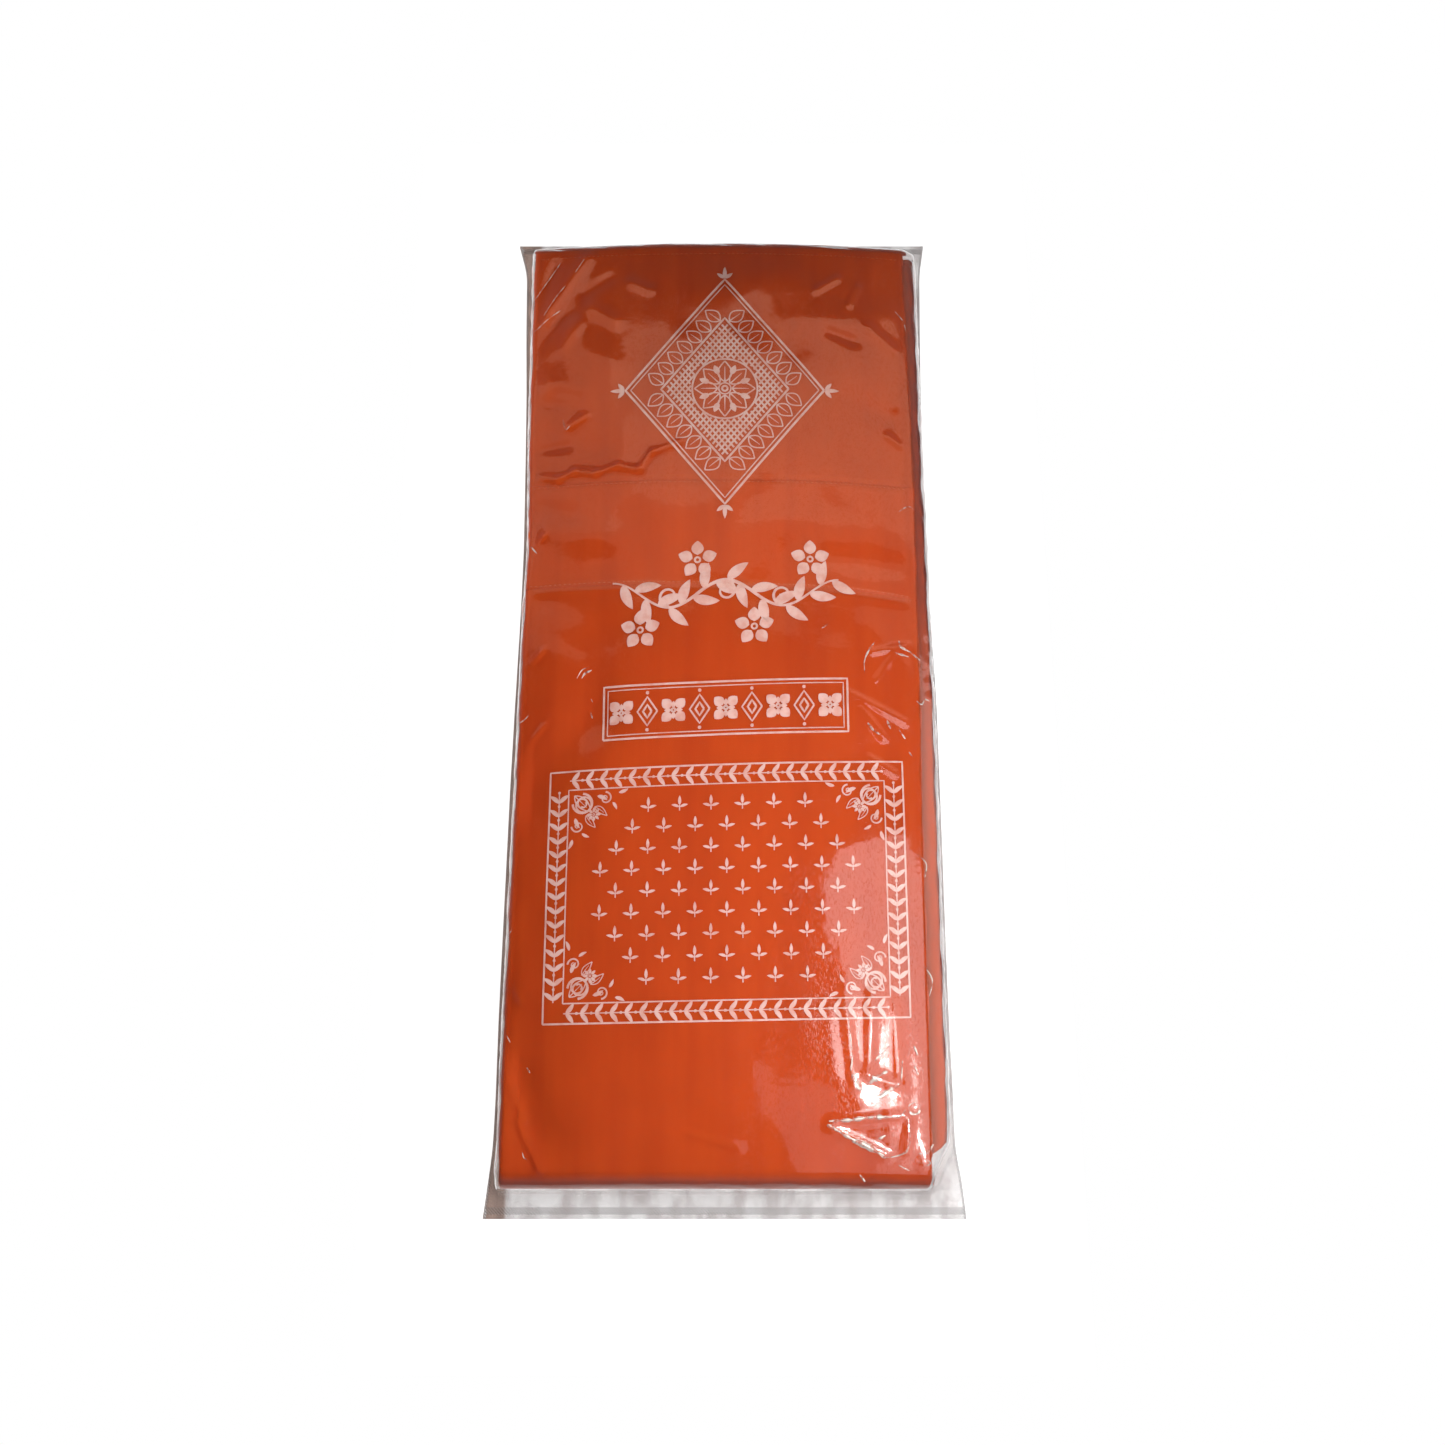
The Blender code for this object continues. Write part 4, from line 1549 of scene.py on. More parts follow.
# How the front film comes down over both ends of the stack, at last to the welds
FILM_NEAR: Rows = (
    # y, share_of_height
    (-0.3075, 0.0),
    (-0.3038, 0.08),
    (-0.3017, 0.30),
)
FILM_FAR: Rows = (
    # y, share_of_height
    (0.2885, 1.0),
    (0.2968, 1.0),
    (0.2990, 0.94),
    (0.3014, 0.68),
    (0.3017, 0.30),
    (0.3038, 0.07),
    (0.3075, 0.0),
)

# How the film leaves the right edge of the top, and how it meets the middle packet
BRIDGE: Rows = (
    # outwards, down
    (-0.0022, 0.0002),
    (-0.0005, 0.0011),
    (0.0004, 0.0021),
)
LANDING: Rows = (
    # outwards, up
    (-0.0008, 0.0034),
    (0.0002, -0.0012),
)


@dataclass
class ClearBag:
    """The clear bag: its front film, the back film's finish, and the welds."""

    finish: FilmFinish = FilmFinish("clear_film")
    back_finish: FilmFinish = FilmFinish("clear_back_film", least_mirror=0.03, cloud_low=0.25)
    weld_finish: WeldFinish = WeldFinish()
    crease_finish: CreaseFinish = CreaseFinish()
    pitch: float = 0.0017
    corner_rounds: int = 3
    seal_gap: float = 0.0001
    margin_lift: float = 0.0004
    foot_out: float = 0.0008
    foot_top: float = 0.0034
    left_wall_foot: float = 0.0095
    right_wall_foot: float = 0.0085
    top_parts: int = 12
    end_fade: float = 0.008
    gather: SmoothNoise = SmoothNoise(0.0068, 0.0011, 8, stretch=0.9)
    gathered_from: Pair = (0.003, 0.009)
    gathered_to: Pair = (0.0, -0.004)
    flange_ripple: SmoothNoise = SmoothNoise(0.009, 0.0007, 9)
    margin_from: Pair = (0.0007, 0.0013)
    margin_to: Pair = (0.004, 0.002)
    fold_step: float = 0.0004
    fold_points: int = 9
    fold_width: SmoothNoise = SmoothNoise(0.0022, 1.1, 12)
    fold_limits: Pair = (0.12, 1.6)
    fold_lift: float = 0.00004
    weld_width: float = 0.004
    weld_inset: float = 0.0045
    weld_points: int = 140
    side_weld_points: int = 260
    side_weld_steps: tuple[float, float, float] = (0.0001, 0.0008, 0.0015)
    stack: FoldedStack = STACK

    def stations(self) -> Points:
        """Chooses the places along the bag at which the film has points.

        Returns:
            Rows of a place and the film's share of its full height there.
        """
        stack = self.stack
        full = stack.top + stack.film_out - stack.film_floor
        coarse = [(-stack.bag_end, 0.0), *FILM_NEAR]
        for angle in (90, 67.5, 45, 22.5):
            turn = math.radians(angle)
            half = (stack.top - stack.bottom) / 2 + stack.film_out
            y = stack.near + stack.wrap_reach - (stack.wrap_reach + stack.film_out) * math.sin(turn)
            z = (stack.bottom + stack.top) / 2 + half * math.cos(turn)
            coarse.append((y, (z - stack.film_floor) / full))
        coarse += [(stack.near + stack.wrap_reach, 1.0), *FILM_FAR, (stack.bag_end, 0.0)]
        return self.subdivided(np.array(coarse), np.array([1.0, full]))

    def subdivided(self, coarse: Points, weights: Points) -> Points:
        """Splits a bent line into short even steps and rounds its corners.

        Args:
            coarse: The line's points.
            weights: How much each coordinate counts in a step's length.

        Returns:
            The points of the finer line.
        """
        out = [coarse[:1]]
        for a, b in zip(coarse, coarse[1:]):
            steps = max(int(round(np.linalg.norm((b - a) * weights) / self.pitch)), 1)
            out.append(a + (b - a) * np.linspace(0, 1, steps + 1)[1:, None])
        return evened(np.concatenate(out), 0, self.corner_rounds)

    def margin(self, weld: Points, wall: Points, side: int) -> list[tuple[Points, Points]]:
        """Makes the section of one flat margin.

        Args:
            weld: Where the bag's edge lies.
            wall: Where the film's wall stands.
            side: 1 on the right, and -1 on the left.

        Returns:
            Places across and heights, from the bag's edge to the foot of the wall.
        """
        stack = self.stack
        one = np.ones_like(wall)
        seal = stack.film_wall + self.seal_gap
        return [
            (weld, seal * one),
            (0.7 * weld + 0.3 * wall, (seal + self.margin_lift) * one),
            ((weld + wall) / 2, stack.film_floor * one),
            (wall + side * self.foot_out, self.foot_top * one),
        ]

    def section(self, y: Points) -> Points:
        """Makes the film's section across the bag at its full height.

        Args:
            y: Places along the bag.

        Returns:
            For each place, points with x and z, from the left side to the right.
        """
        stack = self.stack
        one = np.ones_like(y)
        left = stack.edge(Edge.LEFT, y) - stack.film_out
        right = stack.edge(Edge.MIDDLE_RIGHT, y + 0.005) + stack.film_out
        top_left = left + LAYERS[TOP_LAYER][1]
        top_right = stack.edge(Edge.TOP_RIGHT, y) - LAYERS[TOP_LAYER][2] + stack.film_out
        depth = stack.shoulder + stack.film_out
        film_top = stack.top + stack.film_out
        ledge = stack.bottom + LOWER_LAYERS * stack.layer_height
        level = top_right - top_left - 2 * depth
        shares = np.linspace(0, 1, self.top_parts + 1)[1:-1]
        nodes = self.margin(stack.edge(Edge.BAG_LEFT, y), left, -1)
        nodes += [(left, self.left_wall_foot * one), (left, (stack.top - 2 * stack.shoulder) * one)]
        nodes += [(top_left + out, (film_top - down) * one) for out, down in shoulder_places(depth, 4)[1:]]
        nodes += [(top_left + depth + level * share, film_top * one) for share in shares]
        nodes += [(top_right + out, (film_top - down) * one) for out, down in BRIDGE]
        nodes += [(right + out, (ledge + up) * one) for out, up in LANDING]
        nodes += [(right, self.right_wall_foot * one)]
        nodes += self.margin(stack.edge(Edge.BAG_RIGHT, y), right, 1)[::-1]
        return np.moveaxis(np.array(nodes), (0, 1, 2), (1, 2, 0))

    def surface(self) -> Points:
        """Makes the front film's points.

        Returns:
            A grid of points with x, y and z last.
        """
        stack = self.stack
        stations = self.stations()
        y, share = stations[:, 0], stations[:, 1]
        coarse = self.section(y)
        middle = coarse[len(coarse) // 2]
        columns = [coarse[:, :1]]
        for index in range(coarse.shape[1] - 1):
            length = np.linalg.norm(middle[index + 1] - middle[index])
            steps = max(int(round(length / self.pitch)), 1)
            shares = np.linspace(0, 1, steps + 1)[1:, None]
            a, b = coarse[:, index, None], coarse[:, index + 1, None]
            columns.append(a + (b - a) * shares)
        section = evened(np.concatenate(columns, axis=1), 1, self.corner_rounds)
        x, z = section[..., 0], section[..., 1]
        rise = np.maximum(z - stack.film_floor, 0) * share[:, None] + np.minimum(z, stack.film_floor)
        end_share = rising(np.abs(y), stack.bag_end, stack.bag_end - self.end_fade)[:, None]
        seal = stack.film_wall + self.seal_gap
        rise = np.minimum(rise, seal + (rise - stack.film_wall) * end_share)
        flat = np.stack([x, np.broadcast_to(y[:, None], x.shape), rise], axis=-1)
        return self.gathered(flat, stack.film(flat))

    def gathered(self, flat: Points, lifted: Points) -> Points:
        """Adds the gathers of the bag's sides and the ripples of its flat margins.

        Args:
            flat: The film's points before they were lifted.
            lifted: Its points.

        Returns:
            The uneven film's points.
        """
        normal = np.cross(np.gradient(lifted, axis=1), np.gradient(lifted, axis=0))
        normal /= np.linalg.norm(normal, axis=-1, keepdims=True)
        x, y, z = np.moveaxis(flat, -1, 0)
        wall = rising(z, *self.gathered_from) * rising(z - self.stack.top, *self.gathered_to)
        gather = np.abs(self.gather.at(y + 0.2 * z, 3 * z + 0.5 * x))
        lifted = lifted + normal * (wall * gather)[..., None]
        margin = rising(z, *self.margin_from) * rising(z, *self.margin_to)
        lifted[..., 2] += margin * np.abs(self.flange_ripple.at(x, y))
        return lifted

    def fold(self, width: float, height: float, points: Points) -> tuple[Points, Faces]:
        """Makes one sharp fold of the film as a narrow tent that tapers at both ends.

        Args:
            width: Its width, in metres.
            height: Its height.
            points: Points along it.

        Returns:
            Its points and its faces.
        """
        line = smooth_path(points, self.fold_step)
        shares = np.linspace(-1, 1, self.fold_points)
        taper = np.sin(math.pi * np.linspace(0.03, 0.97, len(line))) ** 0.5
        uneven = 1.0 + self.fold_width.at(line[:, 0] * 1.7 + line[:, 1], line[:, 1])
        half = width / 2 * np.clip(taper * uneven, *self.fold_limits)
        plane = line[:, None] + sideways(line)[:, None] * (shares * half[:, None])[..., None]
        placed = self.stack.on_film(plane[..., 0], plane[..., 1], 0.0)
        placed[..., 2] += height * taper[:, None] * (1 - shares**2)[None] + self.fold_lift
        return placed.reshape(-1, 3), grid_faces(len(line), self.fold_points, turned=True)

    def weld(self, name: str, y: float, finish: bpy.types.Material) -> None:
        """Adds the weld strip across one end of the bag.

        Args:
            name: The piece's name.
            y: The strip's middle along the bag.
            finish: Its material.
        """
        stack = self.stack
        share = np.linspace(0.0015, 0.9985, self.weld_points)
        rows = []
        for out in (-0.5, -0.25, 0.0, 0.25, 0.5):
            at = np.full(len(share), y + out * self.weld_width)
            left, right = stack.edge(Edge.BAG_LEFT, at), stack.edge(Edge.BAG_RIGHT, at)
            z = np.full(len(share), stack.film_wall + 0.00025 + 0.0001 * (1 - (2 * out) ** 2))
            rows.append(np.stack([left + (right - left) * share, at, z], axis=-1))
        add_piece(name, mesh_from_grid(name, np.array(rows)), finish)

    def side_weld(self, name: str, which: Edge, inwards: int, finish: bpy.types.Material) -> None:
        """Adds the narrow weld along one long side of the bag.

        Args:
            name: The piece's name.
            which: The side.
            inwards: 1 where +X leads inwards, and -1 where -X does.
            finish: Its material.
        """
        stack = self.stack
        y = np.linspace(-stack.bag_end, stack.bag_end, self.side_weld_points)
        rows = []
        for step, rise in zip(self.side_weld_steps, (0.00022, 0.00034, 0.00022)):
            z = np.full(len(y), stack.film_wall + rise)
            rows.append(np.stack([stack.edge(which, y) + inwards * step, y, z], axis=-1))
        add_piece(name, mesh_from_grid(name, np.array(rows)), finish)

    def build(self) -> None:
        """Makes the bag, its front film and its welds."""
        film = self.finish.build()
        front = add_piece("bag_front_film", mesh_from_grid("bag_front_film", self.surface()), film)
        folds = [self.fold(width * MM, height * MM, np.array(at) * MM) for width, height, at in FILM_FOLDS]
        # The folds carry painted highlights, pale white in patches.
        add_piece("film_folds", mesh_from_faces("film_folds", *joined(folds)), self.crease_finish.build())
        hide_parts("bag_front")

        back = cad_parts["bag_back"]
        back.data.materials.clear()
        back.data.materials.append(self.back_finish.build())

        weld = self.weld_finish.build()
        end = self.stack.bag_end - self.weld_inset
        self.weld("near_weld", -end, weld)
        self.weld("far_weld", end, weld)
        self.side_weld("left_weld", Edge.BAG_LEFT, 1, weld)
        self.side_weld("right_weld", Edge.BAG_RIGHT, -1, weld)


@dataclass(frozen=True)
class Stroke:
    """A line of ink: its points in the plane of the print, and its width at each."""

    points: Points
    widths: Points

    def placed(
        self, x: float, y: float, turn: float = 0.0, size: float = 1.0, flip: bool = False
    ) -> "Stroke":
        """Returns the stroke turned, sized and moved.

        Args:
            x: Where its origin goes, across.
            y: Where its origin goes, along.
            turn: Degrees anticlockwise.
            size: How much larger it is drawn.
            flip: Whether it is mirrored first, left to right.

        Returns:
            The placed stroke.
        """
        angle = math.radians(turn)
        spin = np.array([[math.cos(angle), math.sin(angle)], [-math.sin(angle), math.cos(angle)]])
        points = self.points * np.array([-1.0 if flip else 1.0, 1.0])
        return Stroke(points @ spin * size + np.array([x, y]), self.widths * size)


Motif = list[Stroke]


def placed(
    motif: Motif, x: float, y: float, turn: float = 0.0, size: float = 1.0, flip: bool = False
) -> Motif:
    """Returns every stroke of a motif, placed alike."""
    return [stroke.placed(x, y, turn, size, flip) for stroke in motif]


def ahead(distance: float, turn: float) -> Pair:
    """Returns the place at a distance along +Y, turned by some degrees."""
    return -distance * math.sin(math.radians(turn)), distance * math.cos(math.radians(turn))


def bent_line(corners: list[Pair], width: float, step: float = 3.0) -> Stroke:
    """Makes a stroke of even width through some corners.

    Args:
        corners: The corners, in millimetres.
        width: The stroke's width.
        step: The longest distance between two of its points.

    Returns:
        The stroke.
    """
    points = [np.array(corners[:1], float)]
    for a, b in zip(np.array(corners, float), np.array(corners[1:], float)):
        steps = max(int(math.ceil(np.linalg.norm(b - a) / step)), 1)
        points.append(a + (b - a) * np.linspace(0, 1, steps + 1)[1:, None])
    line = np.concatenate(points)
    return Stroke(line, np.full(len(line), width))


def circle(radius: float, width: float, steps: int = 28) -> Stroke:
    """Returns a ring of ink."""
    turn = np.linspace(0, 2 * math.pi, steps + 1)
    return Stroke(radius * np.stack([np.cos(turn), np.sin(turn)], axis=-1), np.full(len(turn), width))


def leaf(length: float, breadth: float, bend: float = 0.0) -> Stroke:
    """Makes a filled leaf along +Y from its stalk.

    Args:
        length: Its length.
        breadth: Its greatest width.
        bend: How far its tip leans to one side, as a share of its length.

    Returns:
        The leaf.
    """
    share = np.linspace(0, 1, 11)
    points = np.stack([bend * length * share**2, length * share], axis=-1)
    return Stroke(points, breadth * np.sin(math.pi * share**0.85) ** 0.8 + 0.12)


def leaf_outline(length: float, breadth: float, width: float, bend: float = 0.0) -> Motif:
    """Makes a leaf drawn as its two edges and a midrib.

    Args:
        length: Its length.
        breadth: Its greatest width.
        width: The lines' width.
        bend: How far its tip leans to one side, as a share of its length.

    Returns:
        The three lines.
    """
    share = np.linspace(0, 1, 12)
    half = breadth / 2 * np.sin(math.pi * share**0.85)
    middle = bend * length * share**2
    edges = [
        Stroke(np.stack([middle + side * half, length * share], axis=-1), np.full(len(share), width))
        for side in (-1, 1)
    ]
    rib = share[:9]
    midrib = Stroke(np.stack([bend * length * rib**2, length * rib], axis=-1), width * (1.1 - rib))
    return [*edges, midrib]


def scroll(radius: float, turns: float, width: float) -> Stroke:
    """Makes a tapering spiral that winds inwards from the origin.

    Args:
        radius: Its radius where it starts.
        turns: How many times it goes round.
        width: Its width where it starts.

    Returns:
        The spiral.
    """
    turn = np.linspace(0, 2 * math.pi * turns, int(26 * turns))
    reach = radius * (1 - 0.8 * turn / turn[-1])
    points = np.stack([radius - reach * np.cos(turn), reach * np.sin(turn)], axis=-1)
    return Stroke(points, width * (1 - 0.55 * turn / turn[-1]))


def blossom(radius: float, petals: int, breadth: float) -> Motif:
    """Makes a flower of filled petals round an open middle.

    Args:
        radius: Its radius.
        petals: How many petals it has.
        breadth: A petal's width.

    Returns:
        The petals and the ring in the middle.
    """
    turns = [360 * n / petals for n in range(petals)]
    strokes = [leaf(radius * 0.74, breadth).placed(*ahead(radius * 0.26, turn), turn) for turn in turns]
    return [*strokes, circle(radius * 0.13, radius * 0.1)]


def drawn_blossom(radius: float, petals: int, breadth: float, width: float) -> Motif:
    """Makes a flower of petals drawn as outlines, with a filled leaf between each pair.

    Args:
        radius: Its radius.
        petals: How many petals it has.
        breadth: A petal's width.
        width: The lines' width.

    Returns:
        The rings in the middle, the petals and the leaves.
    """
    strokes = [circle(radius * 0.20, width), circle(radius * 0.09, width * 1.4)]
    for n in range(petals):
        turn = 360 * n / petals
        half = turn + 180 / petals
        strokes += placed(leaf_outline(radius * 0.76, breadth, width), *ahead(radius * 0.24, turn), turn)
        strokes.append(leaf(radius * 0.36, breadth * 0.42).placed(*ahead(radius * 0.55, half), half))
    return strokes


def diamond(half_x: float, half_y: float, width: float) -> Stroke:
    """Returns the outline of a diamond."""
    return bent_line([(half_x, 0), (0, half_y), (-half_x, 0), (0, -half_y), (half_x, 0)], width)


def net_in_diamond(half_x: float, half_y: float, pitch: float, width: float, clear: float) -> Motif:
    """Makes a net that fills a diamond, parallel to its sides, apart from a round place in its middle.

    Args:
        half_x: Half of the diamond's width.
        half_y: Half of its height.
        pitch: The distance between lines.
        width: The lines' width.
        clear: The radius of the empty place.

    Returns:
        The lines.
    """
    strokes = []
    count = int(2 * half_x * half_y / math.hypot(half_x, half_y) / pitch)
    for lean in (-1, 1):
        for share in np.arange(1, count) / count:
            start = np.array([-lean * half_x * (1 - share), half_y * share])
            end = start + np.array([lean * half_x, -half_y])
            line = start + (end - start) * np.linspace(0, 1, 34)[:, None]
            strokes += kept_runs(line, np.hypot(line[:, 0], line[:, 1]) > clear, width)
    return strokes


def kept_runs(line: Points, kept: Points, width: float) -> Motif:
    """Cuts a line into strokes where its points are kept.

    Args:
        line: The line's points.
        kept: Whether each is kept.
        width: The strokes' width.

    Returns:
        A stroke for each run of two or more kept points.
    """
    cuts = np.flatnonzero(np.diff(kept)) + 1
    runs = zip(np.split(line, cuts), np.split(kept, cuts))
    return [Stroke(run, np.full(len(run), width)) for run, keep in runs if keep[0] and len(run) > 1]


@dataclass
class BagPrint:
    """The pale ornament printed on the inside of the front film. Sizes are in millimetres."""

    finish: InkFinish = InkFinish()
    depth: float = 0.00016
    finest: float = 0.0016
    stack: FoldedStack = STACK

    # How far the print leans, as the film lies
    leans = np.array(
        [
            # y in metres, degrees
            (-0.210, 1.1),
            (-0.060, 1.9),
            (-0.020, 2.5),
            (0.050, 1.2),
            (0.190, 0.4),
            (0.300, 0.3),
        ]
    )

    def medallion(self) -> Motif:
        """Makes a diamond with a flower in a net, framed by leaves.

        Returns:
            Its strokes, in millimetres.
        """
        out_x, out_y, in_x, in_y = 64.0, 80.0, 41.0, 51.0
        strokes = [diamond(out_x, out_y, 1.5), diamond(out_x - 3.4, out_y - 4.2, 0.8)]
        strokes += [diamond(in_x, in_y, 1.4)]
        strokes += net_in_diamond(in_x - 2, in_y - 2.5, 2.9, 1.25, 21.5)
        strokes += [circle(21.0, 1.2, 48)]
        strokes += drawn_blossom(19.5, 8, 9.0, 0.9)
        side = math.hypot(in_x, in_y)
        out_turn = math.degrees(math.atan2(in_x, in_y))
        for to_x in (-1, 1):
            for to_y in (-1, 1):
                for n in range(7):
                    share = (n + 0.5) / 7
                    x = to_x * (in_x + 1.6) * (1 - share)
                    y = to_y * (in_y + 1.6) * share
                    turn = -to_x * (90 - out_turn) if to_y > 0 else -to_x * (90 + out_turn)
                    strokes += placed(leaf_outline(12.4, side * 0.125, 0.85), x, y, turn)
        for turn, reach in ((0, out_y), (180, out_y), (90, out_x), (270, out_x)):
            for spread, length in ((-52, 6.5), (0, 9.0), (52, 6.5)):
                strokes.append(leaf(length, 2.6).placed(*ahead(reach + 0.8, turn), turn + spread))
        return strokes

    def garland(self) -> Motif:
        """Makes a waving stem with broad leaves and three flowers.

        Returns:
            Its strokes, in millimetres.
        """
        x = np.linspace(-70, 70, 85)
        swing = 2 * math.pi / 70
        strokes = [Stroke(np.stack([x, 8.5 * np.cos(x * swing)], axis=-1), 2.3 - 0.018 * np.abs(x))]
        for n in range(-9, 10):
            at = n * 7.2 + 1.2
            if abs(at) > 67:
                continue
            y = 8.5 * math.cos(at * swing)
            lean = math.degrees(math.atan(-8.5 * swing * math.sin(at * swing)))
            up = n % 2 == 0
            turn = lean + (-32 if up else -148)
            strokes.append(leaf(16.5, 6.4, 0.22 if up else -0.22).placed(at, y, turn))
        for at in (-52.5, -17.5, 17.5, 52.5):
            sign = 1 if int(round((at + 52.5) / 35)) % 2 else -1
            strokes += placed(blossom(12.5, 5, 7.6), at, sign * 22.0)
        for at in (-35.0, 0.0, 35.0):
            sign = -1 if int(round((at + 35) / 35)) % 2 else 1
            strokes += placed([scroll(6.5, 1.3, 1.9)], at, -sign * 8.0, 90 if sign > 0 else -90)
        return strokes

    def flower_band(self) -> Motif:
        """Makes a straight band of small flowers and diamonds between rules.

        Returns:
            Its strokes, in millimetres.
        """
        strokes = []
        for half_x, half_y, width in ((74.0, 16.5, 1.3), (71.5, 14.0, 0.7)):
            box = [(-half_x, -half_y), (half_x, -half_y), (half_x, half_y), (-half_x, half_y)]
            strokes.append(bent_line([*box, box[0]], width))
        for n in range(-4, 5):
            x = n * 15.8
            if n % 2 == 0:
                strokes += placed(blossom(9.6, 4, 6.4), x, 0, 45)
                strokes += placed(blossom(5.6, 4, 2.6), x, 0)
            else:
                strokes += placed([diamond(6.0, 9.0, 1.1), diamond(2.6, 4.2, 1.3)], x, 0)
                for to_y in (-1, 1):
                    strokes += placed([circle(0.6, 1.0, 8)], x, to_y * 11.6)
        return strokes

    def leaf_border(self, length: float) -> Motif:
        """Makes a straight border of paired leaves along +Y.

        Args:
            length: Its length, in millimetres.

        Returns:
            Its strokes, in millimetres.
        """
        strokes = []
        count = int(length / 8.2)
        for n in range(count):
            y = (n + 0.15) * length / count
            for lean, bend in ((-38, 0.25), (38, -0.25)):
                strokes.append(leaf(7.4, 2.5, bend).placed(0, y, lean))
            strokes += placed([circle(0.45, 0.9, 8)], 0, y + 6.4)
        strokes.append(bent_line([(0, 0), (0, length)], 0.7))
        return strokes

    def corner(self) -> Motif:
        """Makes a quarter fan of scrolls and leaves, for a corner that opens to +X and +Y.

        Returns:
            Its strokes, in millimetres.
        """
        strokes = []
        for flip in (False, True):
            turn = -90 if flip else 0
            half = [
                *placed([scroll(9.0, 1.6, 1.9)], 3.5, 12.0),
                *placed([scroll(5.2, 1.3, 1.5)], 3.0, 31.0),
                *placed(leaf_outline(13.0, 5.0, 0.8, 0.2), 15.0, 22.0, -26),
                leaf(9.0, 3.2, 0.3).placed(6.0, 24.0, -8),
                leaf(8.0, 2.8, -0.3).placed(4.0, 42.0, 4),
                leaf(7.0, 2.4, 0.3).placed(12.0, 37.0, -44),
            ]
            strokes += placed(half, 0, 0, turn, 1.0, flip)
        strokes += placed(leaf_outline(20.0, 8.5, 0.9), 5.0, 5.0, -45)
        strokes += placed(blossom(6.0, 8, 2.2), 21.5, 21.5)
        return strokes

    def sprig(self) -> Motif:
        """Makes a small three-leafed sprig.

        Returns:
            Its strokes, in millimetres.
        """
        return [
            leaf(5.4, 1.7).placed(0, 0.4),
            leaf(4.4, 1.5, 0.2).placed(0.3, -0.6, -62),
            leaf(4.4, 1.5, -0.2).placed(-0.3, -0.6, 62),
            bent_line([(0, -2.8), (0, 0.4)], 0.7, 1.6),
        ]

    def frame(self) -> Motif:
        """Makes a frame of leaf borders and corner fans round rows of sprigs.

        Returns:
            Its strokes, in millimetres.
        """
        half_x, half_y = 106.0, 74.5
        strokes = []
        for inset, width in ((0.0, 1.1), (11.5, 0.8)):
            a, b = half_x - inset, half_y - inset
            strokes.append(bent_line([(-a, -b), (a, -b), (a, b), (-a, b), (-a, -b)], width))
        for to_x in (-1, 1):
            strokes += placed(self.leaf_border(2 * half_y - 24), to_x * (half_x - 5.8), 12 - half_y)
        for to_y in (-1, 1):
            strokes += placed(self.leaf_border(2 * half_x - 24), 12 - half_x, to_y * (half_y - 5.8), -90)
        for to_x in (-1, 1):
            for to_y in (-1, 1):
                turn = {(-1, -1): 0, (1, -1): 90, (1, 1): 180, (-1, 1): 270}[(to_x, to_y)]
                place_x, place_y = to_x * (half_x - 11.5), to_y * (half_y - 11.5)
                strokes += placed(self.corner(), place_x, place_y, turn, 0.72)
        for row in range(9):
            y = (row - 4) * 12.6
            columns = 9 if row % 2 else 8
            for column in range(columns):
                x = (column - (columns - 1) / 2) * 18.6
                if abs(x) > 62 and abs(y) > 27:
                    continue
                strokes += placed(self.sprig(), x, y, 0, 1.05)
        return strokes

    def ribbon(self, stroke: Stroke) -> tuple[Points, Faces]:
        """Makes the faces of one stroke, laid on the film.

        Args:
            stroke: A stroke in metres, placed on the bag.

        Returns:
            Its points and its faces.
        """
        line = stroke.points
        steps = max(int(math.ceil(stroke.widths.max() / self.finest)), 1)
        shares = np.linspace(-0.5, 0.5, steps + 1)
        offsets = (stroke.widths[:, None] * shares[None])[..., None]
        plane = line[:, None] + sideways(line)[:, None] * offsets
        return plane.reshape(-1, 2), grid_faces(len(line), steps + 1, turned=True)

    def add(self, name: str, motif: Motif, centre: Pair, finish: bpy.types.Material) -> None:
        """Lays one motif on the film.

        Args:
            name: The piece's name.
            motif: The motif, in millimetres from its own middle.
            centre: Where its middle goes, in millimetres.
            finish: The ink.
        """
        scaled = [Stroke((stroke.points + np.array(centre)) * MM, stroke.widths * MM) for stroke in motif]
        plane, faces = joined([self.ribbon(stroke) for stroke in scaled])
        x, y = plane.T
        lean = np.radians(np.interp(y, self.leans[:, 0], self.leans[:, 1]))
        points = self.stack.on_film(x, y + x * np.tan(lean), self.depth)
        add_piece(name, mesh_from_faces(name, points, faces), finish)

    def build(self) -> None:
        """Makes the four motifs."""
        ink = self.finish.build()
        self.add("print_medallion", self.medallion(), (1.5, 189.0), ink)
        self.add("print_garland", self.garland(), (2.0, 50.0), ink)
        self.add("print_flower_band", self.flower_band(), (2.0, -23.0), ink)
        self.add("print_frame", self.frame(), (2.5, -132.5), ink)


@dataclass(frozen=True)
class Lamp:
    """A soft rectangular light, which faces straight down where it has no aim.

    The radiance is how bright its surface is: at pi a white card beside it looks white.
    """

    name: str
    place: Place
    size: Pair
    radiance: float
    shown: Shown
    aim: Place | None = None
    colour: Colour = (1.0, 1.0, 1.0)

    def build(self) -> None:
        """Adds the light."""
        data = bpy.data.lights.new(self.name, "AREA")
        data.shape = "RECTANGLE"
        data.size, data.size_y = self.size
        data.color = self.colour
        data.energy = self.radiance * math.pi * self.size[0] * self.size[1]
        made = linked(self.name, data)
        made.location = self.place
        aim = Vector(self.aim or (self.place[0], self.place[1], 0.0))
        made.rotation_mode = "QUATERNION"
        made.rotation_quaternion = (aim - Vector(self.place)).to_track_quat("-Z", "Y")
        made.visible_glossy = self.shown is not Shown.ON_CLOTH
        made.visible_diffuse = self.shown is not Shown.IN_MIRRORS
        made.visible_camera = False


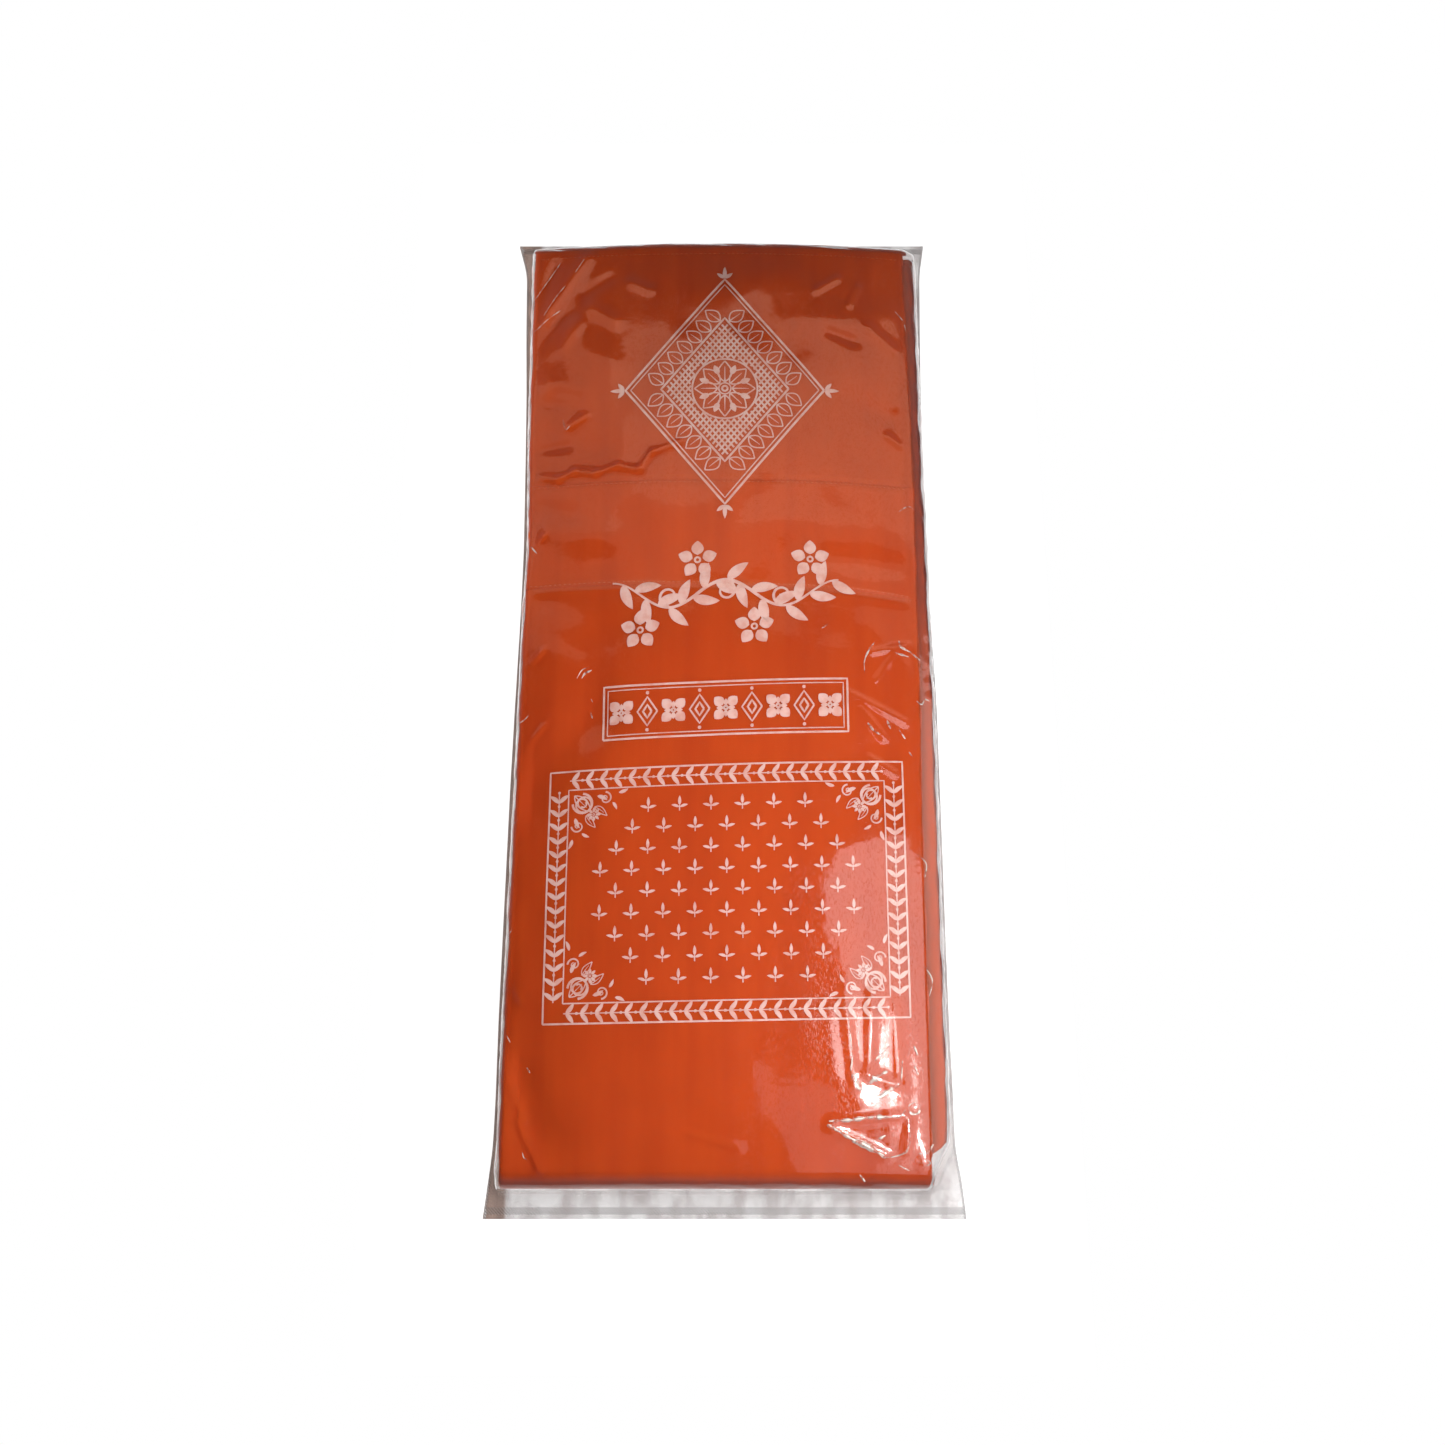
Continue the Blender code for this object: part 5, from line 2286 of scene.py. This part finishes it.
WARM = (1.0, 0.64, 0.44)
PALE_WARM = (1.0, 0.85, 0.78)
AT_PRINT = (0.05, -0.2, 0.0)
LAMPS = (
    # name, place, size, radiance, shown, aim, colour
    Lamp("key", (0.14, -0.18, 0.62), (0.45, 0.35), 5.5, Shown.ON_CLOTH, (0.0, -0.18, 0.0)),
    Lamp("fill", (-0.60, 0.22, 0.50), (0.60, 0.60), 2.4, Shown.ON_CLOTH, (-0.08, 0.12, 0.0)),
    Lamp("near_fill", (0.05, -0.85, 0.40), (0.70, 0.30), 1.0, Shown.ON_CLOTH, (0.0, -0.25, 0.0)),
    Lamp("ceiling", (0.45, 0.85, 1.24), (1.7, 0.39), 1.0, Shown.IN_MIRRORS, None, WARM),
    Lamp("ceiling_left", (-0.85, 0.85, 1.24), (0.9, 0.39), 0.65, Shown.IN_MIRRORS, None, WARM),
    Lamp("ceiling_edge", (0.0, 0.566, 1.24), (2.6, 0.18), 0.45, Shown.IN_MIRRORS, None, WARM),
    Lamp("pale_wall", (0.76, -0.34, 1.24), (0.66, 0.84), 1.9, Shown.BOTH),
    Lamp("low_wall", (0.53, -0.82, 1.24), (0.40, 0.62), 1.05, Shown.IN_MIRRORS),
    Lamp("low_wall_edge", (0.23, -0.77, 1.24), (0.20, 0.72), 0.50, Shown.IN_MIRRORS),
    Lamp("side_wall", (1.0, -0.25, 0.40), (1.1, 0.60), 1.3, Shown.IN_MIRRORS, (0.13, -0.20, 0.02), PALE_WARM),
    Lamp("window", (0.47, -0.31, 1.20), (0.12, 0.20), 4.4, Shown.IN_MIRRORS, AT_PRINT),
    Lamp("lamp", (0.53, -0.36, 1.20), (0.10, 0.07), 90.0, Shown.IN_MIRRORS, AT_PRINT),
)


@dataclass(frozen=True)
class Card:
    """A level card that is bright in itself.

    Its matt share is how much of the light on it it gives back, and its glow how bright it is.
    """

    name: str
    half_x: float
    half_y: float
    z: float
    matt: float
    glow: float

    def build(self) -> None:
        """Adds the card."""
        nodes = NodeTree(bpy.data.materials.new(self.name))
        shader = nodes.node("Emission", {"Color": rgba((1.0, 1.0, 1.0)), "Strength": self.glow})
        if self.matt > 0:
            pale = nodes.node("BsdfDiffuse", {"Color": rgba((self.matt, self.matt, self.matt))})
            shader = nodes.node("AddShader", {0: pale.outputs[0], 1: shader.outputs[0]})
        corners = [[(x, y, 0.0) for x in (-self.half_x, self.half_x)] for y in (-self.half_y, self.half_y)]
        mesh = mesh_from_grid(self.name, np.array(corners))
        finish = nodes.finish(shader)
        finish.cycles.emission_sampling = "NONE"
        mesh.materials.append(finish)
        made = linked(self.name, mesh)
        made.location.z = self.z
        made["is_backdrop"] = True


@dataclass
class Studio:
    """The floor, a pale card that takes shadows on a wide white one, the sky, the lights and the camera."""

    cards: tuple[Card, ...] = (
        # name, half_x, half_y, z, matt, glow
        Card("floor", 0.21, 0.40, -0.0004, 0.55, 0.82),
        Card("wide_floor", 6.0, 6.0, -0.0010, 0.0, 1.0),
    )
    camera_place: Place = (0.0, -0.2200, 0.7978)
    camera_tilt: float = 13.9
    lens: float = 32.39
    sensor_width: float = 36.0
    sky: float = 0.08
    white_sky: float = 1.0
    mirrored_sky: float = 0.03
    mirrored_horizon: float = 0.42
    horizon_heights: Pair = (0.40, 0.80)

    def sky_light(self) -> None:
        """Sets a dim even sky, which the camera sees white and mirrors see dark above a pale horizon."""
        world = bpy.data.worlds.new("studio")
        bpy.context.scene.world = world
        nodes = NodeTree(world, "OutputWorld")
        direction = nodes.node("TexCoord").outputs["Generated"]
        up = nodes.node("SeparateXYZ", {"Vector": direction}).outputs["Z"]
        links = dict(zip(("From Min", "From Max"), self.horizon_heights))
        links |= {"Value": up, "To Min": self.mirrored_horizon, "To Max": self.mirrored_sky}
        mirrored = nodes.node("MapRange", links).outputs[0]
        ray = nodes.node("LightPath").outputs
        shown = nodes.node("Background", {"Strength": self.sky})
        for kind, strength in (("Is Glossy Ray", mirrored), ("Is Camera Ray", self.white_sky)):
            sky = nodes.node("Background", {"Strength": strength})
            shown = nodes.node("MixShader", {0: ray[kind], 1: shown.outputs[0], 2: sky.outputs[0]})
        nodes.finish(shown)

    def camera(self) -> None:
        """Adds the camera at the photo's angle."""
        data = bpy.data.cameras.new("camera")
        data.sensor_width = self.sensor_width
        data.lens = self.lens
        data.clip_start = 0.01
        made = linked("camera", data)
        made.location = self.camera_place
        made.rotation_euler = (math.radians(self.camera_tilt), 0.0, 0.0)
        bpy.context.scene.camera = made

    def build(self) -> None:
        """Makes the studio."""
        for thing in (*self.cards, *LAMPS):
            thing.build()
        self.sky_light()
        self.camera()
        bpy.context.scene.view_settings.view_transform = "Standard"


def main() -> None:
    """Builds every piece in order."""
    logging.basicConfig(level=logging.INFO, format="%(name)s: %(message)s")
    for part in (TopCloth(), FoldEdges(), Stitching(), ClearBag(), BagPrint()):
        part.build()
        log.info("made %s", type(part).__name__)
    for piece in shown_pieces():
        log.info("%s: %d faces", piece.name, len(piece.data.polygons))
    Studio().build()


if __name__ == "__main__":
    main()
